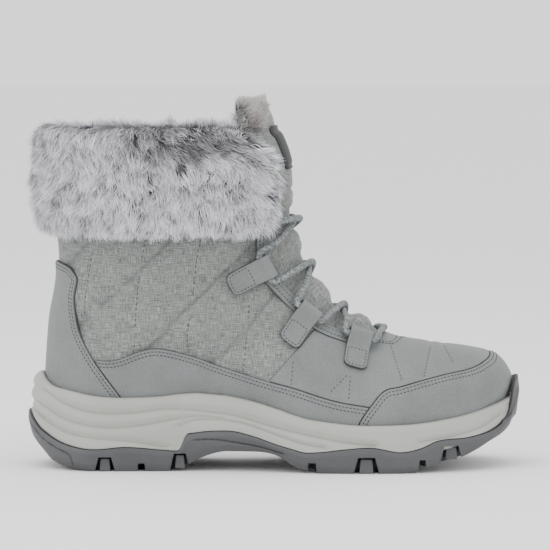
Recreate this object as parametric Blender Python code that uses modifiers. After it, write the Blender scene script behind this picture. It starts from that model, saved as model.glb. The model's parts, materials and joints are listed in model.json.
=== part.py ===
"""A right snow boot with a fur cuff. Metres, toe towards +X, outer side towards -Y, sole on z = 0."""

import math

import bmesh
import bpy
import numpy as np
from mathutils import Vector
from mathutils.bvhtree import BVHTree

# Driving sizes
SOLE_LENGTH = 0.280
BALL_WIDTH = 0.096
HEEL_WIDTH = 0.067
SHAFT_WIDTH = 0.090
HEEL_HEIGHT = 0.042
SHAFT_HEIGHT = 0.148
UPPER_WALL = 0.0024
PANEL = 0.0012
VAMP = 0.0009
GAP = 0.0003
SEAT_DEPTH = 0.003
INSOLE_GAP = 0.0026
INSOLE_THICKNESS = 0.0045
TONGUE_THICKNESS = 0.005
LINING_DEPTH = 0.010
LINING_GAP = 0.0020
FACING_WIDTH = 0.0068
LUG_HEIGHT = 0.0065
NOTCH_DEPTH = 0.012
CUFF_THICKNESS = 0.013
LOCK_HEIGHT = 0.0035
TAB_LENGTH = 0.0230
TAB_WIDTH = 0.0134
TAB_THICKNESS = 0.0020
LACE_DIAMETER = 0.0036
PATCH_HALF_WIDTH = 0.013
PATCH_THICKNESS = 0.001
TUNNEL_BORE = 0.0058
TUNNEL_WALL = 0.0011

# The upper's outline on the sole: stations as shares of the sole length, half width as shares of
# the heel and ball widths, and the sideways swing of its middle line as a share of the ball width.
PLAN = (
    # station, of heel, of ball, swing
    (0.040, 0.50, 0.000, 0.000),
    (0.160, 0.50, 0.000, 0.000),
    (0.285, 0.30, 0.120, -0.010),
    (0.357, 0.20, 0.185, -0.026),
    (0.430, 0.10, 0.263, -0.041),
    (0.500, 0.04, 0.335, -0.046),
    (0.570, 0.00, 0.408, -0.041),
    (0.643, 0.00, 0.450, -0.022),
    (0.700, 0.00, 0.470, -0.005),
    (0.750, 0.00, 0.478, 0.013),
    (0.800, 0.00, 0.476, 0.029),
    (0.857, 0.00, 0.468, 0.039),
    (0.930, 0.00, 0.455, 0.051),
    (0.973, 0.00, 0.448, 0.058),
)
HEEL_END, TOE_END = PLAN[0][0], PLAN[-1][0]
HEEL_ROUND, TOE_ROUND = 0.12, 0.22

# Heights along the sole, as shares of the heel height: the midsole's rim, the rand's top edge,
# the top of the outsole's plate and its tread.
SOLE = (
    # station, rim, rand, plate, tread
    (0.040, 1.270, 0.760, 0.500, 0.220),
    (0.047, 1.200, 0.660, 0.450, 0.190),
    (0.057, 1.140, 0.560, 0.390, 0.130),
    (0.070, 1.100, 0.480, 0.330, 0.085),
    (0.090, 1.075, 0.385, 0.280, 0.045),
    (0.121, 1.030, 0.310, 0.240, 0.010),
    (0.145, 1.000, 0.295, 0.230, 0.000),
    (0.200, 0.980, 0.325, 0.230, 0.000),
    (0.275, 1.000, 0.290, 0.230, 0.000),
    (0.310, 1.030, 0.275, 0.235, 0.030),
    (0.328, 1.040, 0.500, 0.280, 0.090),
    (0.345, 1.045, 0.520, 0.320, 0.150),
    (0.367, 1.035, 0.540, 0.360, 0.215),
    (0.410, 1.010, 0.550, 0.390, 0.275),
    (0.464, 0.935, 0.480, 0.370, 0.275),
    (0.510, 0.840, 0.375, 0.290, 0.225),
    (0.540, 0.770, 0.320, 0.240, 0.100),
    (0.570, 0.715, 0.275, 0.220, 0.035),
    (0.593, 0.690, 0.285, 0.215, 0.000),
    (0.650, 0.645, 0.330, 0.210, 0.000),
    (0.690, 0.633, 0.350, 0.210, 0.000),
    (0.750, 0.640, 0.285, 0.215, 0.000),
    (0.785, 0.655, 0.330, 0.230, 0.040),
    (0.820, 0.685, 0.430, 0.270, 0.100),
    (0.880, 0.760, 0.460, 0.370, 0.225),
    (0.927, 0.845, 0.545, 0.480, 0.370),
    (0.945, 0.880, 0.640, 0.540, 0.440),
    (0.957, 0.905, 0.800, 0.600, 0.500),
    (0.965, 0.930, 1.120, 0.650, 0.540),
    (0.973, 0.950, 1.215, 0.700, 0.560),
)

# How far each edge of the sole stands out from the upper at the heel, the sides and the toe.
STAND_OUT = {
    # edge: heel, side, toe
    "tread": (0.0027, 0.0046, 0.0018),
    "low side": (0.0092, 0.0064, 0.0062),
    "wide side": (0.0112, 0.0078, 0.0079),
    "rand": (0.0108, 0.0074, 0.0070),
    "cup": (0.0083, 0.0050, 0.0059),
    "foam low": (0.0093, 0.0070, 0.0050),
    "foam mid": (0.0095, 0.0074, 0.0050),
    "foam groove": (0.0070, 0.0054, 0.0048),
    "foam high": (0.0075, 0.0066, 0.0048),
    "rim": (0.0064, 0.0061, 0.0053),
    "rim inside": (0.0042, 0.0042, 0.0042),
}
# Where the foam's edges lie between rand and rim, as shares of that height.
FOAM = (
    # station, low groove, high groove, how far the grooves go in
    (0.040, 0.30, 0.68, 0.3),
    (0.080, 0.37, 0.68, 1.0),
    (0.170, 0.40, 0.67, 1.0),
    (0.280, 0.54, 0.77, 1.0),
    (0.350, 0.42, 0.66, 1.0),
    (0.425, 0.28, 0.50, 1.0),
    (0.520, 0.22, 0.43, 1.0),
    (0.630, 0.20, 0.42, 0.6),
    (0.720, 0.20, 0.45, 0.1),
    (0.973, 0.20, 0.45, 0.0),
)

# The last, in sections that fan from the toe over the ball and instep to the collar. Each section
# runs from its ridge point down both sides to its base point on the sole or on the heel's back.
LAST = (
    # ridge station, ridge height, base station, base rise, outer half, inner half, level, peak, lean, swing
    (0.973, -0.0135, 0.907, 0.000, 0.300, 0.300, 0.00, 1.00, 1.00, 0.058),
    (0.980, 0.0405, 0.893, 0.000, 0.362, 0.362, 0.05, 0.95, 0.75, 0.060),
    (0.969, 0.0946, 0.875, 0.000, 0.396, 0.396, 0.10, 0.90, 0.45, 0.060),
    (0.946, 0.135, 0.850, 0.000, 0.435, 0.435, 0.14, 0.86, 0.20, 0.058),
    (0.905, 0.155, 0.821, 0.000, 0.465, 0.465, 0.18, 0.86, 0.00, 0.055),
    (0.857, 0.169, 0.786, 0.000, 0.488, 0.488, 0.20, 0.90, 0.00, 0.050),
    (0.807, 0.182, 0.743, 0.000, 0.498, 0.502, 0.20, 0.95, 0.00, 0.045),
    (0.7625, 0.197, 0.693, 0.000, 0.494, 0.496, 0.20, 1.00, 0.00, 0.040),
    (0.707, 0.238, 0.636, 0.000, 0.480, 0.470, 0.22, 1.06, 0.00, 0.035),
    (0.657, 0.292, 0.564, 0.000, 0.449, 0.434, 0.25, 1.12, 0.00, 0.030),
    (0.609, 0.370, 0.486, 0.000, 0.424, 0.410, 0.29, 1.14, 0.00, 0.025),
    (0.571, 0.475, 0.393, 0.000, 0.424, 0.414, 0.33, 1.10, 0.00, 0.020),
    (0.548, 0.581, 0.279, 0.000, 0.434, 0.430, 0.37, 1.02, 0.00, 0.015),
    (0.5375, 0.669, 0.157, 0.000, 0.450, 0.448, 0.41, 0.96, 0.00, 0.008),
    (0.534, 0.730, 0.071, 0.000, 0.464, 0.464, 0.44, 0.93, 0.00, 0.000),
    (0.532, 0.784, 0.040, 0.000, 0.472, 0.472, 0.46, 0.92, 0.00, 0.000),
    (0.530, 0.845, 0.048, 0.216, 0.478, 0.478, 0.47, 0.90, 0.00, 0.000),
    (0.525, 0.899, 0.063, 0.405, 0.483, 0.483, 0.48, 0.90, 0.00, 0.000),
    (0.518, 0.946, 0.060, 0.588, 0.489, 0.489, 0.49, 0.90, 0.00, 0.000),
    (0.511, 0.980, 0.057, 0.764, 0.494, 0.494, 0.50, 0.90, 0.00, 0.000),
    (0.502, 1.000, 0.055, 0.932, 0.500, 0.500, 0.50, 0.90, 0.00, 0.000),
    (0.4950, 1.054, 0.054, 1.000, 0.500, 0.500, 0.50, 0.90, 0.00, 0.000),
    (0.4860, 1.090, 0.054, 1.050, 0.500, 0.500, 0.50, 0.90, 0.00, 0.000),
)
HEEL_BACK, COLLAR = 15, 20

# The throat's edge: the share of each section's height at which the upper ends.
THROAT = (
    # section, share
    (7.0, 1.00),
    (7.15, 0.95),
    (7.4, 0.915),
    (7.8, 0.885),
    (8.55, 0.868),
    (9.9, 0.812),
    (10.7, 0.806),
    (11.8, 0.808),
    (13.3, 0.866),
    (14.6, 0.905),
    (17.0, 0.920),
    (20.0, 0.935),
    (22.0, 0.935),
)
THROAT_TOE = THROAT[0][0]

# The tongue's outward swell along its middle, in millimetres: low under each lace crossing.
SWELL = (
    # section, millimetres
    (6.6, -3.4),
    (7.15, -3.3),
    (7.8, -1.2),
    (8.6, 4.2),
    (9.4, -2.4),
    (10.2, 2.6),
    (11.1, -1.6),
    (12.0, 2.0),
    (12.95, -1.6),
    (14.2, 1.6),
    (16.0, 1.8),
    (19.0, 1.0),
    (22.0, 0.6),
)

# Lace tabs on one side, from the shaft down: the middle of the throat end, and the way to the
# stitched end, as shares of the sole length (x) and of the shaft height (z above the heel height).
TABS = (
    # end station, end height, run along, run up, sewn to the vamp
    (0.4860, 0.722, -0.970, -0.240, False),
    (0.4763, 0.4795, -0.888, -0.459, False),
    (0.5609, 0.3016, -0.558, -0.830, True),
    (0.6680, 0.1982, -0.186, -0.983, True),
)


def monotone(rows, column, at):
    """A smooth curve through one column of a table, with no overshoot between its rows."""
    x = np.array([row[0] for row in rows], float)
    y = np.array([row[column] for row in rows], float)
    step, rise = np.diff(x), np.diff(y)
    secant = rise / step
    slope = np.concatenate([[secant[0]], (secant[:-1] + secant[1:]) / 2, [secant[-1]]])
    flat = secant[:-1] * secant[1:] <= 0
    slope[1:-1][flat] = 0
    limit = 3 * np.minimum(np.abs(np.append(secant, secant[-1])), np.abs(np.append(secant[0], secant)))
    slope = np.clip(slope, -limit, limit)
    at = np.clip(np.asarray(at, float), x[0], x[-1])
    i = np.clip(np.searchsorted(x, at, side="right") - 1, 0, len(step) - 1)
    u = (at - x[i]) / step[i]
    h00, h10 = (1 + 2 * u) * (1 - u) ** 2, u * (1 - u) ** 2
    h01, h11 = u * u * (3 - 2 * u), u * u * (u - 1)
    return h00 * y[i] + h10 * step[i] * slope[i] + h01 * y[i + 1] + h11 * step[i] * slope[i + 1]


def smoothstep(low, high, at):
    u = np.clip((np.asarray(at, float) - low) / (high - low), 0, 1)
    return u * u * (3 - 2 * u)


LAST_ROWS = tuple((i,) + row for i, row in enumerate(LAST))


def sole_height(column, station):
    return HEEL_HEIGHT * monotone(SOLE, column, station)


def rim_height(station):
    return sole_height(1, station)


def plan_core(station):
    return HEEL_WIDTH * monotone(PLAN, 1, station) + BALL_WIDTH * monotone(PLAN, 2, station)


def plan_half(station):
    """Half width of the upper on the sole, rounded to nothing at heel and toe."""
    heel = np.clip(1 - (station - HEEL_END) / HEEL_ROUND, 0, 1)
    toe = np.clip(1 - (TOE_END - station) / TOE_ROUND, 0, 1)
    return plan_core(station) * np.sqrt(1 - heel**2) * np.sqrt(1 - toe**2)


def plan_middle(station):
    return BALL_WIDTH * monotone(PLAN, 3, station)


def last_point(t, phi, side):
    """The upper's outer surface: t along the sections, phi 0 at the base and 1 at the ridge, side -1 or 1."""
    t, phi = np.broadcast_arrays(np.asarray(t, float), np.asarray(phi, float))

    def column(k):
        return monotone(LAST_ROWS, k, t)

    base = column(3)
    open_base = t < HEEL_BACK
    ridge_x, ridge_z = SOLE_LENGTH * column(1), HEEL_HEIGHT + SHAFT_HEIGHT * column(2)
    base_x = SOLE_LENGTH * base
    seat = rim_height(np.where(open_base, base, HEEL_END)) - SEAT_DEPTH + GAP
    base_z = seat + SHAFT_HEIGHT * column(4)
    foot = np.where(open_base, plan_half(base), 0)
    girth = BALL_WIDTH + (SHAFT_WIDTH - BALL_WIDTH) * smoothstep(8, 15, t)
    widest = np.maximum(girth * (column(5) if side < 0 else column(6)), foot)
    level = column(7)
    start = np.arccos(np.clip(foot / widest, 0, math.cos(0.06)))
    low = np.clip(phi / np.maximum(level, 1e-6), 0, 1)
    down = start * (1 - low)
    toe = np.clip(1 - (TOE_END - base) / TOE_ROUND, 0, 1)
    lean = np.arcsin(toe) * column(9)
    up = lean + (np.pi / 2 - lean) * np.clip((phi - level) / (1 - level), 0, 1)
    lower = phi < level
    share_low = level * (1 - np.sin(down) / np.sin(start))
    share_up = level + (1 - level) * (np.sin(up) - np.sin(lean)) / (1 - np.sin(lean))
    share = np.where(lower, share_low, share_up)
    arch = np.clip(np.cos(up) / np.cos(lean), 0, 1) ** column(8)
    half = widest * np.where(lower, np.cos(down), arch)
    middle = np.where(open_base, plan_middle(base), 0)
    middle = middle + share * (BALL_WIDTH * column(10) - middle)
    x = base_x + share * (ridge_x - base_x)
    z = base_z + share * (ridge_z - base_z)
    return np.stack([x, middle + side * half, z], -1)


def last_normal(t, phi, side):
    small = 1e-3
    t_low, t_high = np.clip(t - small, 0, len(LAST) - 1), np.clip(t + small, 0, len(LAST) - 1)
    p_low, p_high = np.clip(phi - small, 0, 1), np.clip(phi + small, 0, 1)
    along = last_point(t_high, phi, side) - last_point(t_low, phi, side)
    across = last_point(t, p_high, side) - last_point(t, p_low, side)
    normal = np.cross(across, along) * -side
    seam = (phi > 0.9999) | ((t >= HEEL_BACK) & (phi < 0.0001))
    normal[..., 1] = np.where(seam, 0, normal[..., 1])
    size = np.linalg.norm(normal, axis=-1, keepdims=True)
    return normal / np.maximum(size, 1e-12)


def surface(t, phi, side, out=0.0):
    t, phi = np.broadcast_arrays(np.asarray(t, float), np.asarray(phi, float))
    return last_point(t, phi, side) + np.asarray(out)[..., None] * last_normal(t, phi, side)


def phi_of_share(t, share):
    """Where a section reaches this share of its height, above its widest level."""
    level = monotone(LAST_ROWS, 7, t)
    return level + (1 - level) * np.arcsin(np.clip((share - level) / (1 - level), 0, 1)) / (np.pi / 2)


def throat_phi(t):
    open_phi = phi_of_share(t, monotone(THROAT, 1, t))
    return np.where(np.asarray(t) <= THROAT_TOE, 1.0, open_phi)


# Blender objects

for old in list(bpy.data.objects):
    bpy.data.objects.remove(old, do_unlink=True)
parts = bpy.data.collections.new("snow_boot")
cutters = bpy.data.collections.new("cutters")
bpy.context.scene.collection.children.link(parts)
bpy.context.scene.collection.children.link(cutters)


def material(name, colour, roughness):
    made = bpy.data.materials.new(name)
    made.use_nodes = True
    shader = made.node_tree.nodes["Principled BSDF"]
    shader.inputs["Base Color"].default_value = (*colour, 1)
    shader.inputs["Roughness"].default_value = roughness
    return made


TEXTILE = material("textile", (0.36, 0.38, 0.37), 0.9)
LEATHER = material("leather", (0.34, 0.37, 0.38), 0.55)
FOAM_GREY = material("foam", (0.42, 0.42, 0.39), 0.6)
RUBBER = material("rubber", (0.13, 0.14, 0.155), 0.6)
FUR = material("fur", (0.50, 0.48, 0.50), 0.95)
CORD = material("cord", (0.30, 0.34, 0.35), 0.8)
DARK = material("patch", (0.06, 0.065, 0.07), 0.6)
LINING = material("lining", (0.30, 0.29, 0.28), 0.95)


def mesh_object(name, points, faces, finish, collection=parts, closed=True):
    """One object from points and faces, with shared points merged; a closed one is turned to face out."""
    shape = bmesh.new()
    corners = [shape.verts.new(Vector(point)) for point in points]
    for face in faces:
        shape.faces.new([corners[k] for k in face])
    bmesh.ops.remove_doubles(shape, verts=shape.verts, dist=1e-5)
    bmesh.ops.dissolve_degenerate(shape, edges=shape.edges, dist=1e-6)
    if closed:
        bmesh.ops.recalc_face_normals(shape, faces=shape.faces)
    mesh = bpy.data.meshes.new(name)
    shape.to_mesh(mesh)
    shape.free()
    mesh.shade_smooth()
    obj = bpy.data.objects.new(name, mesh)
    collection.objects.link(obj)
    if finish:
        mesh.materials.append(finish)
    return obj


def hide(obj):
    obj.hide_render = True
    obj.display_type = "WIRE"
    return obj


def boolean(obj, cutter, operation):
    modifier = obj.modifiers.new(operation.title(), "BOOLEAN")
    modifier.operation = operation
    modifier.object = cutter
    return obj


def quads(rows, columns, first=0, wrap=False):
    """Faces of a grid of points; with wrap, its last column joins its first."""
    faces = []
    for i in range(rows - 1):
        for j in range(columns if wrap else columns - 1):
            k = (j + 1) % columns
            a, b = first + i * columns, first + (i + 1) * columns
            faces.append((a + j, a + k, b + k, b + j))
    return faces


def sheet(name, finish, sections, columns, out, low=None, high=throat_phi, sides=(-1, 1)):
    """An open sheet on the last between two limits of phi, both halves joined where they meet."""
    points, faces = [], []
    t = np.asarray(sections, float)
    start = np.zeros_like(t) if low is None else low(t)
    u = np.linspace(0, 1, columns)
    phi = start[:, None] + (high(t) - start)[:, None] * u
    for side in sides:
        lift = out(t[:, None], u) if callable(out) else np.full(phi.shape, out)
        grid = surface(t[:, None], phi, side, lift)
        made = quads(len(t), columns, len(points))
        faces += made if side < 0 else [face[::-1] for face in made]
        points += list(grid.reshape(-1, 3))
    return mesh_object(name, points, faces, finish, closed=False)


def thicken(obj, thickness, inwards=False):
    modifier = obj.modifiers.new("Wall", "SOLIDIFY")
    modifier.thickness = thickness
    modifier.offset = -1 if inwards else 1
    modifier.use_even_offset = True
    return obj


def place(station, height):
    """A point of the side view, from shares of the sole length and of the shaft height."""
    return np.array([SOLE_LENGTH * station, HEEL_HEIGHT + SHAFT_HEIGHT * height])


def inset(outline, by):
    """The outline moved inwards by this much on every side."""
    points = np.array(outline, float)
    before, after = np.roll(points, 1, 0), np.roll(points, -1, 0)
    area = (points[:, 0] * after[:, 1] - after[:, 0] * points[:, 1]).sum()
    turn = 1 if area > 0 else -1

    def inward(edge):
        unit = edge / np.linalg.norm(edge, axis=1, keepdims=True)
        return turn * np.stack([-unit[:, 1], unit[:, 0]], 1)

    a, b = inward(points - before), inward(after - points)
    corner = (a + b) / np.maximum(1 + (a * b).sum(1, keepdims=True), 0.2)
    return points + by * corner


def prism(name, outline, y_from, y_to):
    """A cutter: a side-view outline drawn through from y_from to y_to."""
    count = len(outline)
    points = [(x, y, z) for y in (y_from, y_to) for x, z in outline]
    faces = [tuple(range(count)), tuple(range(count, 2 * count))[::-1]]
    faces += [(j, (j + 1) % count, count + (j + 1) % count, count + j) for j in range(count)]
    return hide(mesh_object(name, points, faces, None, cutters))


# Outsole and midsole: rings around the plan, one for each edge of the side, closed by cross strips

STATIONS = HEEL_END + (TOE_END - HEEL_END) * (1 - np.cos(np.linspace(0, np.pi, 31))) / 2


def plan_ring():
    """Stations around the plan, heel to toe on the outer side and back on the inner one."""
    station = np.concatenate([STATIONS, STATIONS[-2:0:-1]])
    side = np.concatenate([-np.ones(len(STATIONS)), np.ones(len(STATIONS) - 2)])
    half = plan_half(station)
    points = np.stack([SOLE_LENGTH * station, plan_middle(station) + side * half], 1)
    along = np.roll(points, -1, 0) - np.roll(points, 1, 0)
    out = np.stack([along[:, 1], -along[:, 0]], 1)
    return station, points, out / np.linalg.norm(out, axis=1, keepdims=True)


RING_STATION, RING_POINT, RING_OUT = plan_ring()


def stand_out(edge):
    heel, side, toe = STAND_OUT[edge]
    at_heel = 1 - smoothstep(HEEL_END, HEEL_END + 0.13, RING_STATION)
    at_toe = smoothstep(TOE_END - 0.12, TOE_END - 0.003, RING_STATION)
    return side + (heel - side) * at_heel + (toe - side) * at_toe


def ring(out, height):
    return np.column_stack([RING_POINT + RING_OUT * np.asarray(out)[..., None], height])


def ring_solid(name, rings, finish):
    """A solid whose side runs through the rings in turn, its first and last closed by cross strips."""
    count = len(RING_STATION)
    points = np.concatenate(rings)
    faces = quads(len(rings), count, wrap=True)
    for first in (0, (len(rings) - 1) * count):
        for k in range(len(STATIONS) - 1):
            corners = [k, k + 1, (count - k - 1) % count, (count - k) % count]
            faces.append([first + c for c in dict.fromkeys(corners)])
    return mesh_object(name, points, faces, finish)


# The notches of the tread's edges: from heel to toe, with the lug that stands back in the wide ones
NOTCHES = (
    # station, width at the floor, share of that width at its top, height, lug
    (0.162, 0.0114, 0.62, 0.0082, True),
    (0.235, 0.0044, 0.80, 0.0046, False),
    (0.312, 0.0108, 0.60, 0.0088, True),
    (0.576, 0.0050, 0.80, 0.0050, False),
    (0.684, 0.0142, 0.66, 0.0092, True),
    (0.796, 0.0042, 0.80, 0.0052, False),
    (0.854, 0.0120, 0.66, 0.0080, True),
)
LUG_BACK = 0.004


def box(name, low, high):
    outline = [(low[0], low[2]), (high[0], low[2]), (high[0], high[2]), (low[0], high[2])]
    return prism(name, outline, low[1], high[1])


def tread_cutters():
    """Notches in both edges of the tread, and the grooves between its lugs."""
    made = []
    for station, width, top_share, height, lug in NOTCHES:
        x, half = SOLE_LENGTH * station, width / 2
        floor = float(sole_height(4, station))
        edge = float(plan_half(station)) + STAND_OUT["wide side"][1]
        middle = float(plan_middle(station))
        outline = [(x - half, floor - height), (x + half, floor - height),
                   (x + half, floor), (x + top_share * half, floor + height),
                   (x - top_share * half, floor + height), (x - half, floor)]
        for side, word in ((-1, "outer"), (1, "inner")):
            name = f"notch_{station}_{word}"
            inside, outside = middle + side * (edge - NOTCH_DEPTH), middle + side * 2 * edge
            notch = prism(name, outline, min(inside, outside), max(inside, outside))
            if lug:
                front = middle + side * (edge - LUG_BACK)
                deep = middle + side * (edge - 2 * NOTCH_DEPTH)
                wide = 0.8 * top_share * half
                block = box(name + "_lug", (x - wide, min(front, deep), floor + 0.1 * height),
                            (x + wide, max(front, deep), floor + 0.88 * height))
                boolean(notch, block, "DIFFERENCE")
            made.append(notch)
    deep = 0.6 * LUG_HEIGHT
    for station, run in ((0.215, 0.11), (0.715, 0.20)):
        for y in ((0.0,) if station < 0.5 else (-0.011, 0.011)):
            middle = float(plan_middle(station)) + y
            low = (SOLE_LENGTH * (station - run / 2), middle - 0.0018, -deep)
            high = (SOLE_LENGTH * (station + run / 2), middle + 0.0018, deep)
            made.append(box(f"groove_{station}_{y}", low, high))
    return made


def outsole():
    rand, plate, tread = (sole_height(k, RING_STATION) for k in (2, 3, 4))
    at_heel = 1 - smoothstep(HEEL_END, HEEL_END + 0.10, RING_STATION)
    at_toe = smoothstep(TOE_END - 0.08, TOE_END, RING_STATION)
    low = tread + (0.30 + 0.12 * at_heel - 0.10 * at_toe) * (rand - tread)
    wide = tread + (0.78 - 0.10 * at_toe) * (rand - tread)
    body = ring_solid("outsole", (
        ring(stand_out("tread"), tread),
        ring(stand_out("low side"), low),
        ring(stand_out("wide side"), wide),
        ring(stand_out("rand"), rand),
        ring(stand_out("cup"), rand),
        ring(stand_out("cup"), plate),
    ), RUBBER)
    for cutter in tread_cutters():
        boolean(body, cutter, "DIFFERENCE")
    return body


def midsole():
    rand, plate, rim = (sole_height(k, RING_STATION) for k in (2, 3, 1))
    low_groove, high_groove, depth = (monotone(FOAM, k, RING_STATION) for k in (1, 2, 3))
    bottom = np.minimum(rand + GAP, rim - 0.0015)
    covered = smoothstep(0.002, 0.006, rim - rand)
    inside = stand_out("cup") - 2 * GAP

    def edge(name, share):
        out = inside + covered * (stand_out(name) - inside)
        return ring(out, bottom + share * (rim - bottom))

    def groove(near, share):
        out = stand_out(near) + depth * (stand_out("foam groove") - stand_out(near))
        return ring(inside + covered * (out - inside), bottom + share * (rim - bottom))

    return ring_solid("midsole", (
        ring(inside, plate + 2 * GAP),
        ring(inside, bottom),
        edge("foam low", 0.0),
        edge("foam mid", 0.45 * low_groove),
        groove("foam mid", low_groove),
        edge("foam mid", (low_groove + high_groove) / 2),
        groove("foam high", high_groove),
        edge("foam high", (high_groove + 1) / 2),
        ring(np.minimum(stand_out("rim"), inside), rim),
        ring(stand_out("rim inside") + 0.0002, rim),
        ring(stand_out("rim inside"), rim - SEAT_DEPTH),
    ), FOAM_GREY)


def insole():
    seat = rim_height(RING_STATION) - SEAT_DEPTH + GAP
    out = np.full(len(RING_STATION), -UPPER_WALL - INSOLE_GAP)
    return ring_solid("insole", (ring(out, seat), ring(out, seat + INSOLE_THICKNESS)), LINING)


# The upper and the panels on it

UPPER_SECTIONS = (0, 0.5, 1, 1.5, 2, 2.6, 3.3, 4, 5, 6, 6.6, 7, 7.15, 7.4, 7.8, 8.1, 8.2, 8.6, 9.2,
                  10, 10.6, 11.1, 11.6, 12.1, 12.8, 13.5, 14, 14.5, 15, 15.8, 17, 18.5, 20)
COLUMNS = 10
PANEL_GAP = 1.8 * GAP
PANEL_FOOT = 1.7 * PANEL
FACING_TOE = 8.25
FACING_END = 17.6


def sections(first, last):
    inner = [t for t in UPPER_SECTIONS if first < t < last]
    return [first] + inner + [last]


def half_girth(t):
    """The length of each section's half loop from base to ridge, taken on its outer side."""
    line = last_point(np.asarray(t, float)[:, None], np.linspace(0, 1, 25), -1)
    return np.linalg.norm(np.diff(line, axis=1), axis=2).sum(1)


def facing_phi(t):
    """The outer edge of the leather strip that runs along the throat."""
    return throat_phi(t) - FACING_WIDTH / half_girth(t)


def upper():
    return thicken(sheet("upper", TEXTILE, UPPER_SECTIONS, COLUMNS, 0.0), UPPER_WALL, inwards=True)


CAP_EDGE = ((0.668, -0.16), (0.6686, -0.101), (0.695, -0.027), (0.720, 0.022), (0.750, 0.035),
            (0.800, 0.059), (0.846, 0.078), (0.8936, 0.0946), (0.921, 0.115), (0.9375, 0.1385), (0.937, 0.19))
GUARD_EDGE = ((0.140, 0.141), (0.171, 0.137), (0.193, 0.145), (0.2286, 0.172), (0.259, 0.185), (0.2864, 0.181),
              (0.35, 0.149), (0.378, 0.128), (0.488, 0.062), (0.535, 0.037), (0.62, -0.013), (0.6914, -0.037))
COUNTER_EDGE = ((0.03, 0.512), (0.05, 0.51), (0.089, 0.487), (0.1025, 0.461), (0.108, 0.441), (0.102, 0.376),
                (0.1036, 0.322), (0.112, 0.243), (0.140, 0.141), (0.193, 0.0), (0.215, -0.06))
QUARTER_SEAM = ((0.489, 0.062), (0.583, 0.257), (0.60, 0.29))


def outline_of(*runs):
    """A closed side-view outline, half a gap inside the named edges that it runs along."""
    return inset([place(*point) for run in runs for point in run], GAP / 2)


def panel(name, outline, first, last, thickness, sides=(-1, 1)):
    """A panel on the upper, cut to its outline in the side view."""
    def low(t):
        return np.where(np.asarray(t) < 14.9, PANEL_FOOT / half_girth(t), 0)

    shell = sheet(name, LEATHER, sections(first, last), COLUMNS, PANEL_GAP, low=low, sides=sides)
    thicken(shell, thickness)
    y_from = -BALL_WIDTH if -1 in sides else 0.0
    y_to = BALL_WIDTH if 1 in sides else 0.0
    return boolean(shell, prism(name + "_outline", outline, y_from, y_to), "INTERSECT")


def facing(name, side):
    strip = sheet(name, LEATHER, sections(FACING_TOE, FACING_END), 3, GAP, low=facing_phi, sides=(side,))
    return thicken(strip, PANEL)


def facing_room(name, side):
    """A cutter that leaves the facing strip its room in the vamp."""
    def low(t):
        return facing_phi(t) - GAP / half_girth(t)

    def high(t):
        return throat_phi(t) + 0.02

    room = sheet(name, None, sections(FACING_TOE - 0.02, FACING_END), 3, -0.5 * GAP,
                 low=low, high=high, sides=(side,))
    cutters.objects.link(room)
    parts.objects.unlink(room)
    return hide(thicken(room, 3 * PANEL))


def panels():
    panel("toe_cap", outline_of(CAP_EDGE, ((1.1, 0.3), (1.1, -0.16))), 0, 8.6, PANEL)
    panel("heel_counter", outline_of(COUNTER_EDGE, ((0.19, -0.1), (0.03, -0.1))), 12, 18, PANEL)
    below = ((0.6686, -0.101), (0.667, -0.16), (0.215, -0.16), (0.215, -0.06), (0.193, 0.0))
    vamp_front = CAP_EDGE[:1:-1]
    vamp_below = GUARD_EDGE[:8:-1]
    outline = outline_of(QUARTER_SEAM, ((0.70, 0.5),), vamp_front, vamp_below)
    vamp = panel("vamp", outline, 2.6, 12.8, VAMP)
    for side, word in ((-1, "lateral"), (1, "medial")):
        panel(f"mudguard_{word}", outline_of(GUARD_EDGE, below), 6, 14.7, PANEL, (side,))
        facing(f"facing_{word}", side)
        boolean(vamp, facing_room(f"facing_room_{word}", side), "DIFFERENCE")


# The tongue, its patch and its fur lining

TONGUE_SECTIONS = (6.7, 7.15, 7.5, 7.9, 8.6, 9.4, 9.8, 10.25, 10.7, 11.1, 11.55, 12, 12.5, 12.95,
                   13.6, 14.4, 15.8, 17, 18.5, 20, 21.2, 22)
TONGUE_LAP = 0.007


def tongue_low(t):
    t = np.asarray(t, float)
    lap = np.where(t < 7.8, 0.010 + 0 * t, TONGUE_LAP)
    return np.minimum(throat_phi(t), phi_of_share(t, 0.95)) - lap / half_girth(t)


def tongue_out(t, u):
    """Under the upper along both edges, swelling between the lace crossings along the middle."""
    under = -UPPER_WALL - 4 * GAP
    return under + smoothstep(0.30, 0.95, u) * (0.001 * monotone(SWELL, 1, t) - under)


def tongue():
    body = sheet("tongue", TEXTILE, TONGUE_SECTIONS, 6, tongue_out, low=tongue_low, high=np.ones_like)
    return thicken(body, TONGUE_THICKNESS, inwards=True)


def tongue_patch():
    def low(t):
        return 1 - PATCH_HALF_WIDTH / half_girth(t)

    def out(t, u):
        tongue_half = half_girth(np.ravel(t)) * (1 - tongue_low(np.ravel(t)))
        return tongue_out(t, 1 - (1 - u) * (PATCH_HALF_WIDTH / tongue_half)[:, None]) + GAP

    patch = sheet("tongue_patch", DARK, (16.2, 17.2, 18.2, 19.3, 20.4), 4, out, low=low, high=np.ones_like)
    return thicken(patch, PATCH_THICKNESS)


def lean_locks(obj, rows, height, lay):
    """Raises a lock on each of the chosen faces: the face is poked and its tip drawn out and laid over."""
    shape = bmesh.new()
    shape.from_mesh(obj.data)
    shape.faces.ensure_lookup_table()
    chosen = [shape.faces[k] for k in rows]
    normals = {face.index: face.normal.copy() for face in chosen}
    order = [face.index for face in chosen]
    made = bmesh.ops.poke(shape, faces=chosen)
    for index, tip in zip(order, made["verts"]):
        swing = 0.75 + 0.5 * math.sin(7.3 * index) * math.cos(3.1 * index)
        tip.co += normals[index] * height * swing + Vector(lay) * height * (0.6 + 0.4 * math.sin(5.7 * index))
    shape.to_mesh(obj.data)
    shape.free()
    return obj


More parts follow.
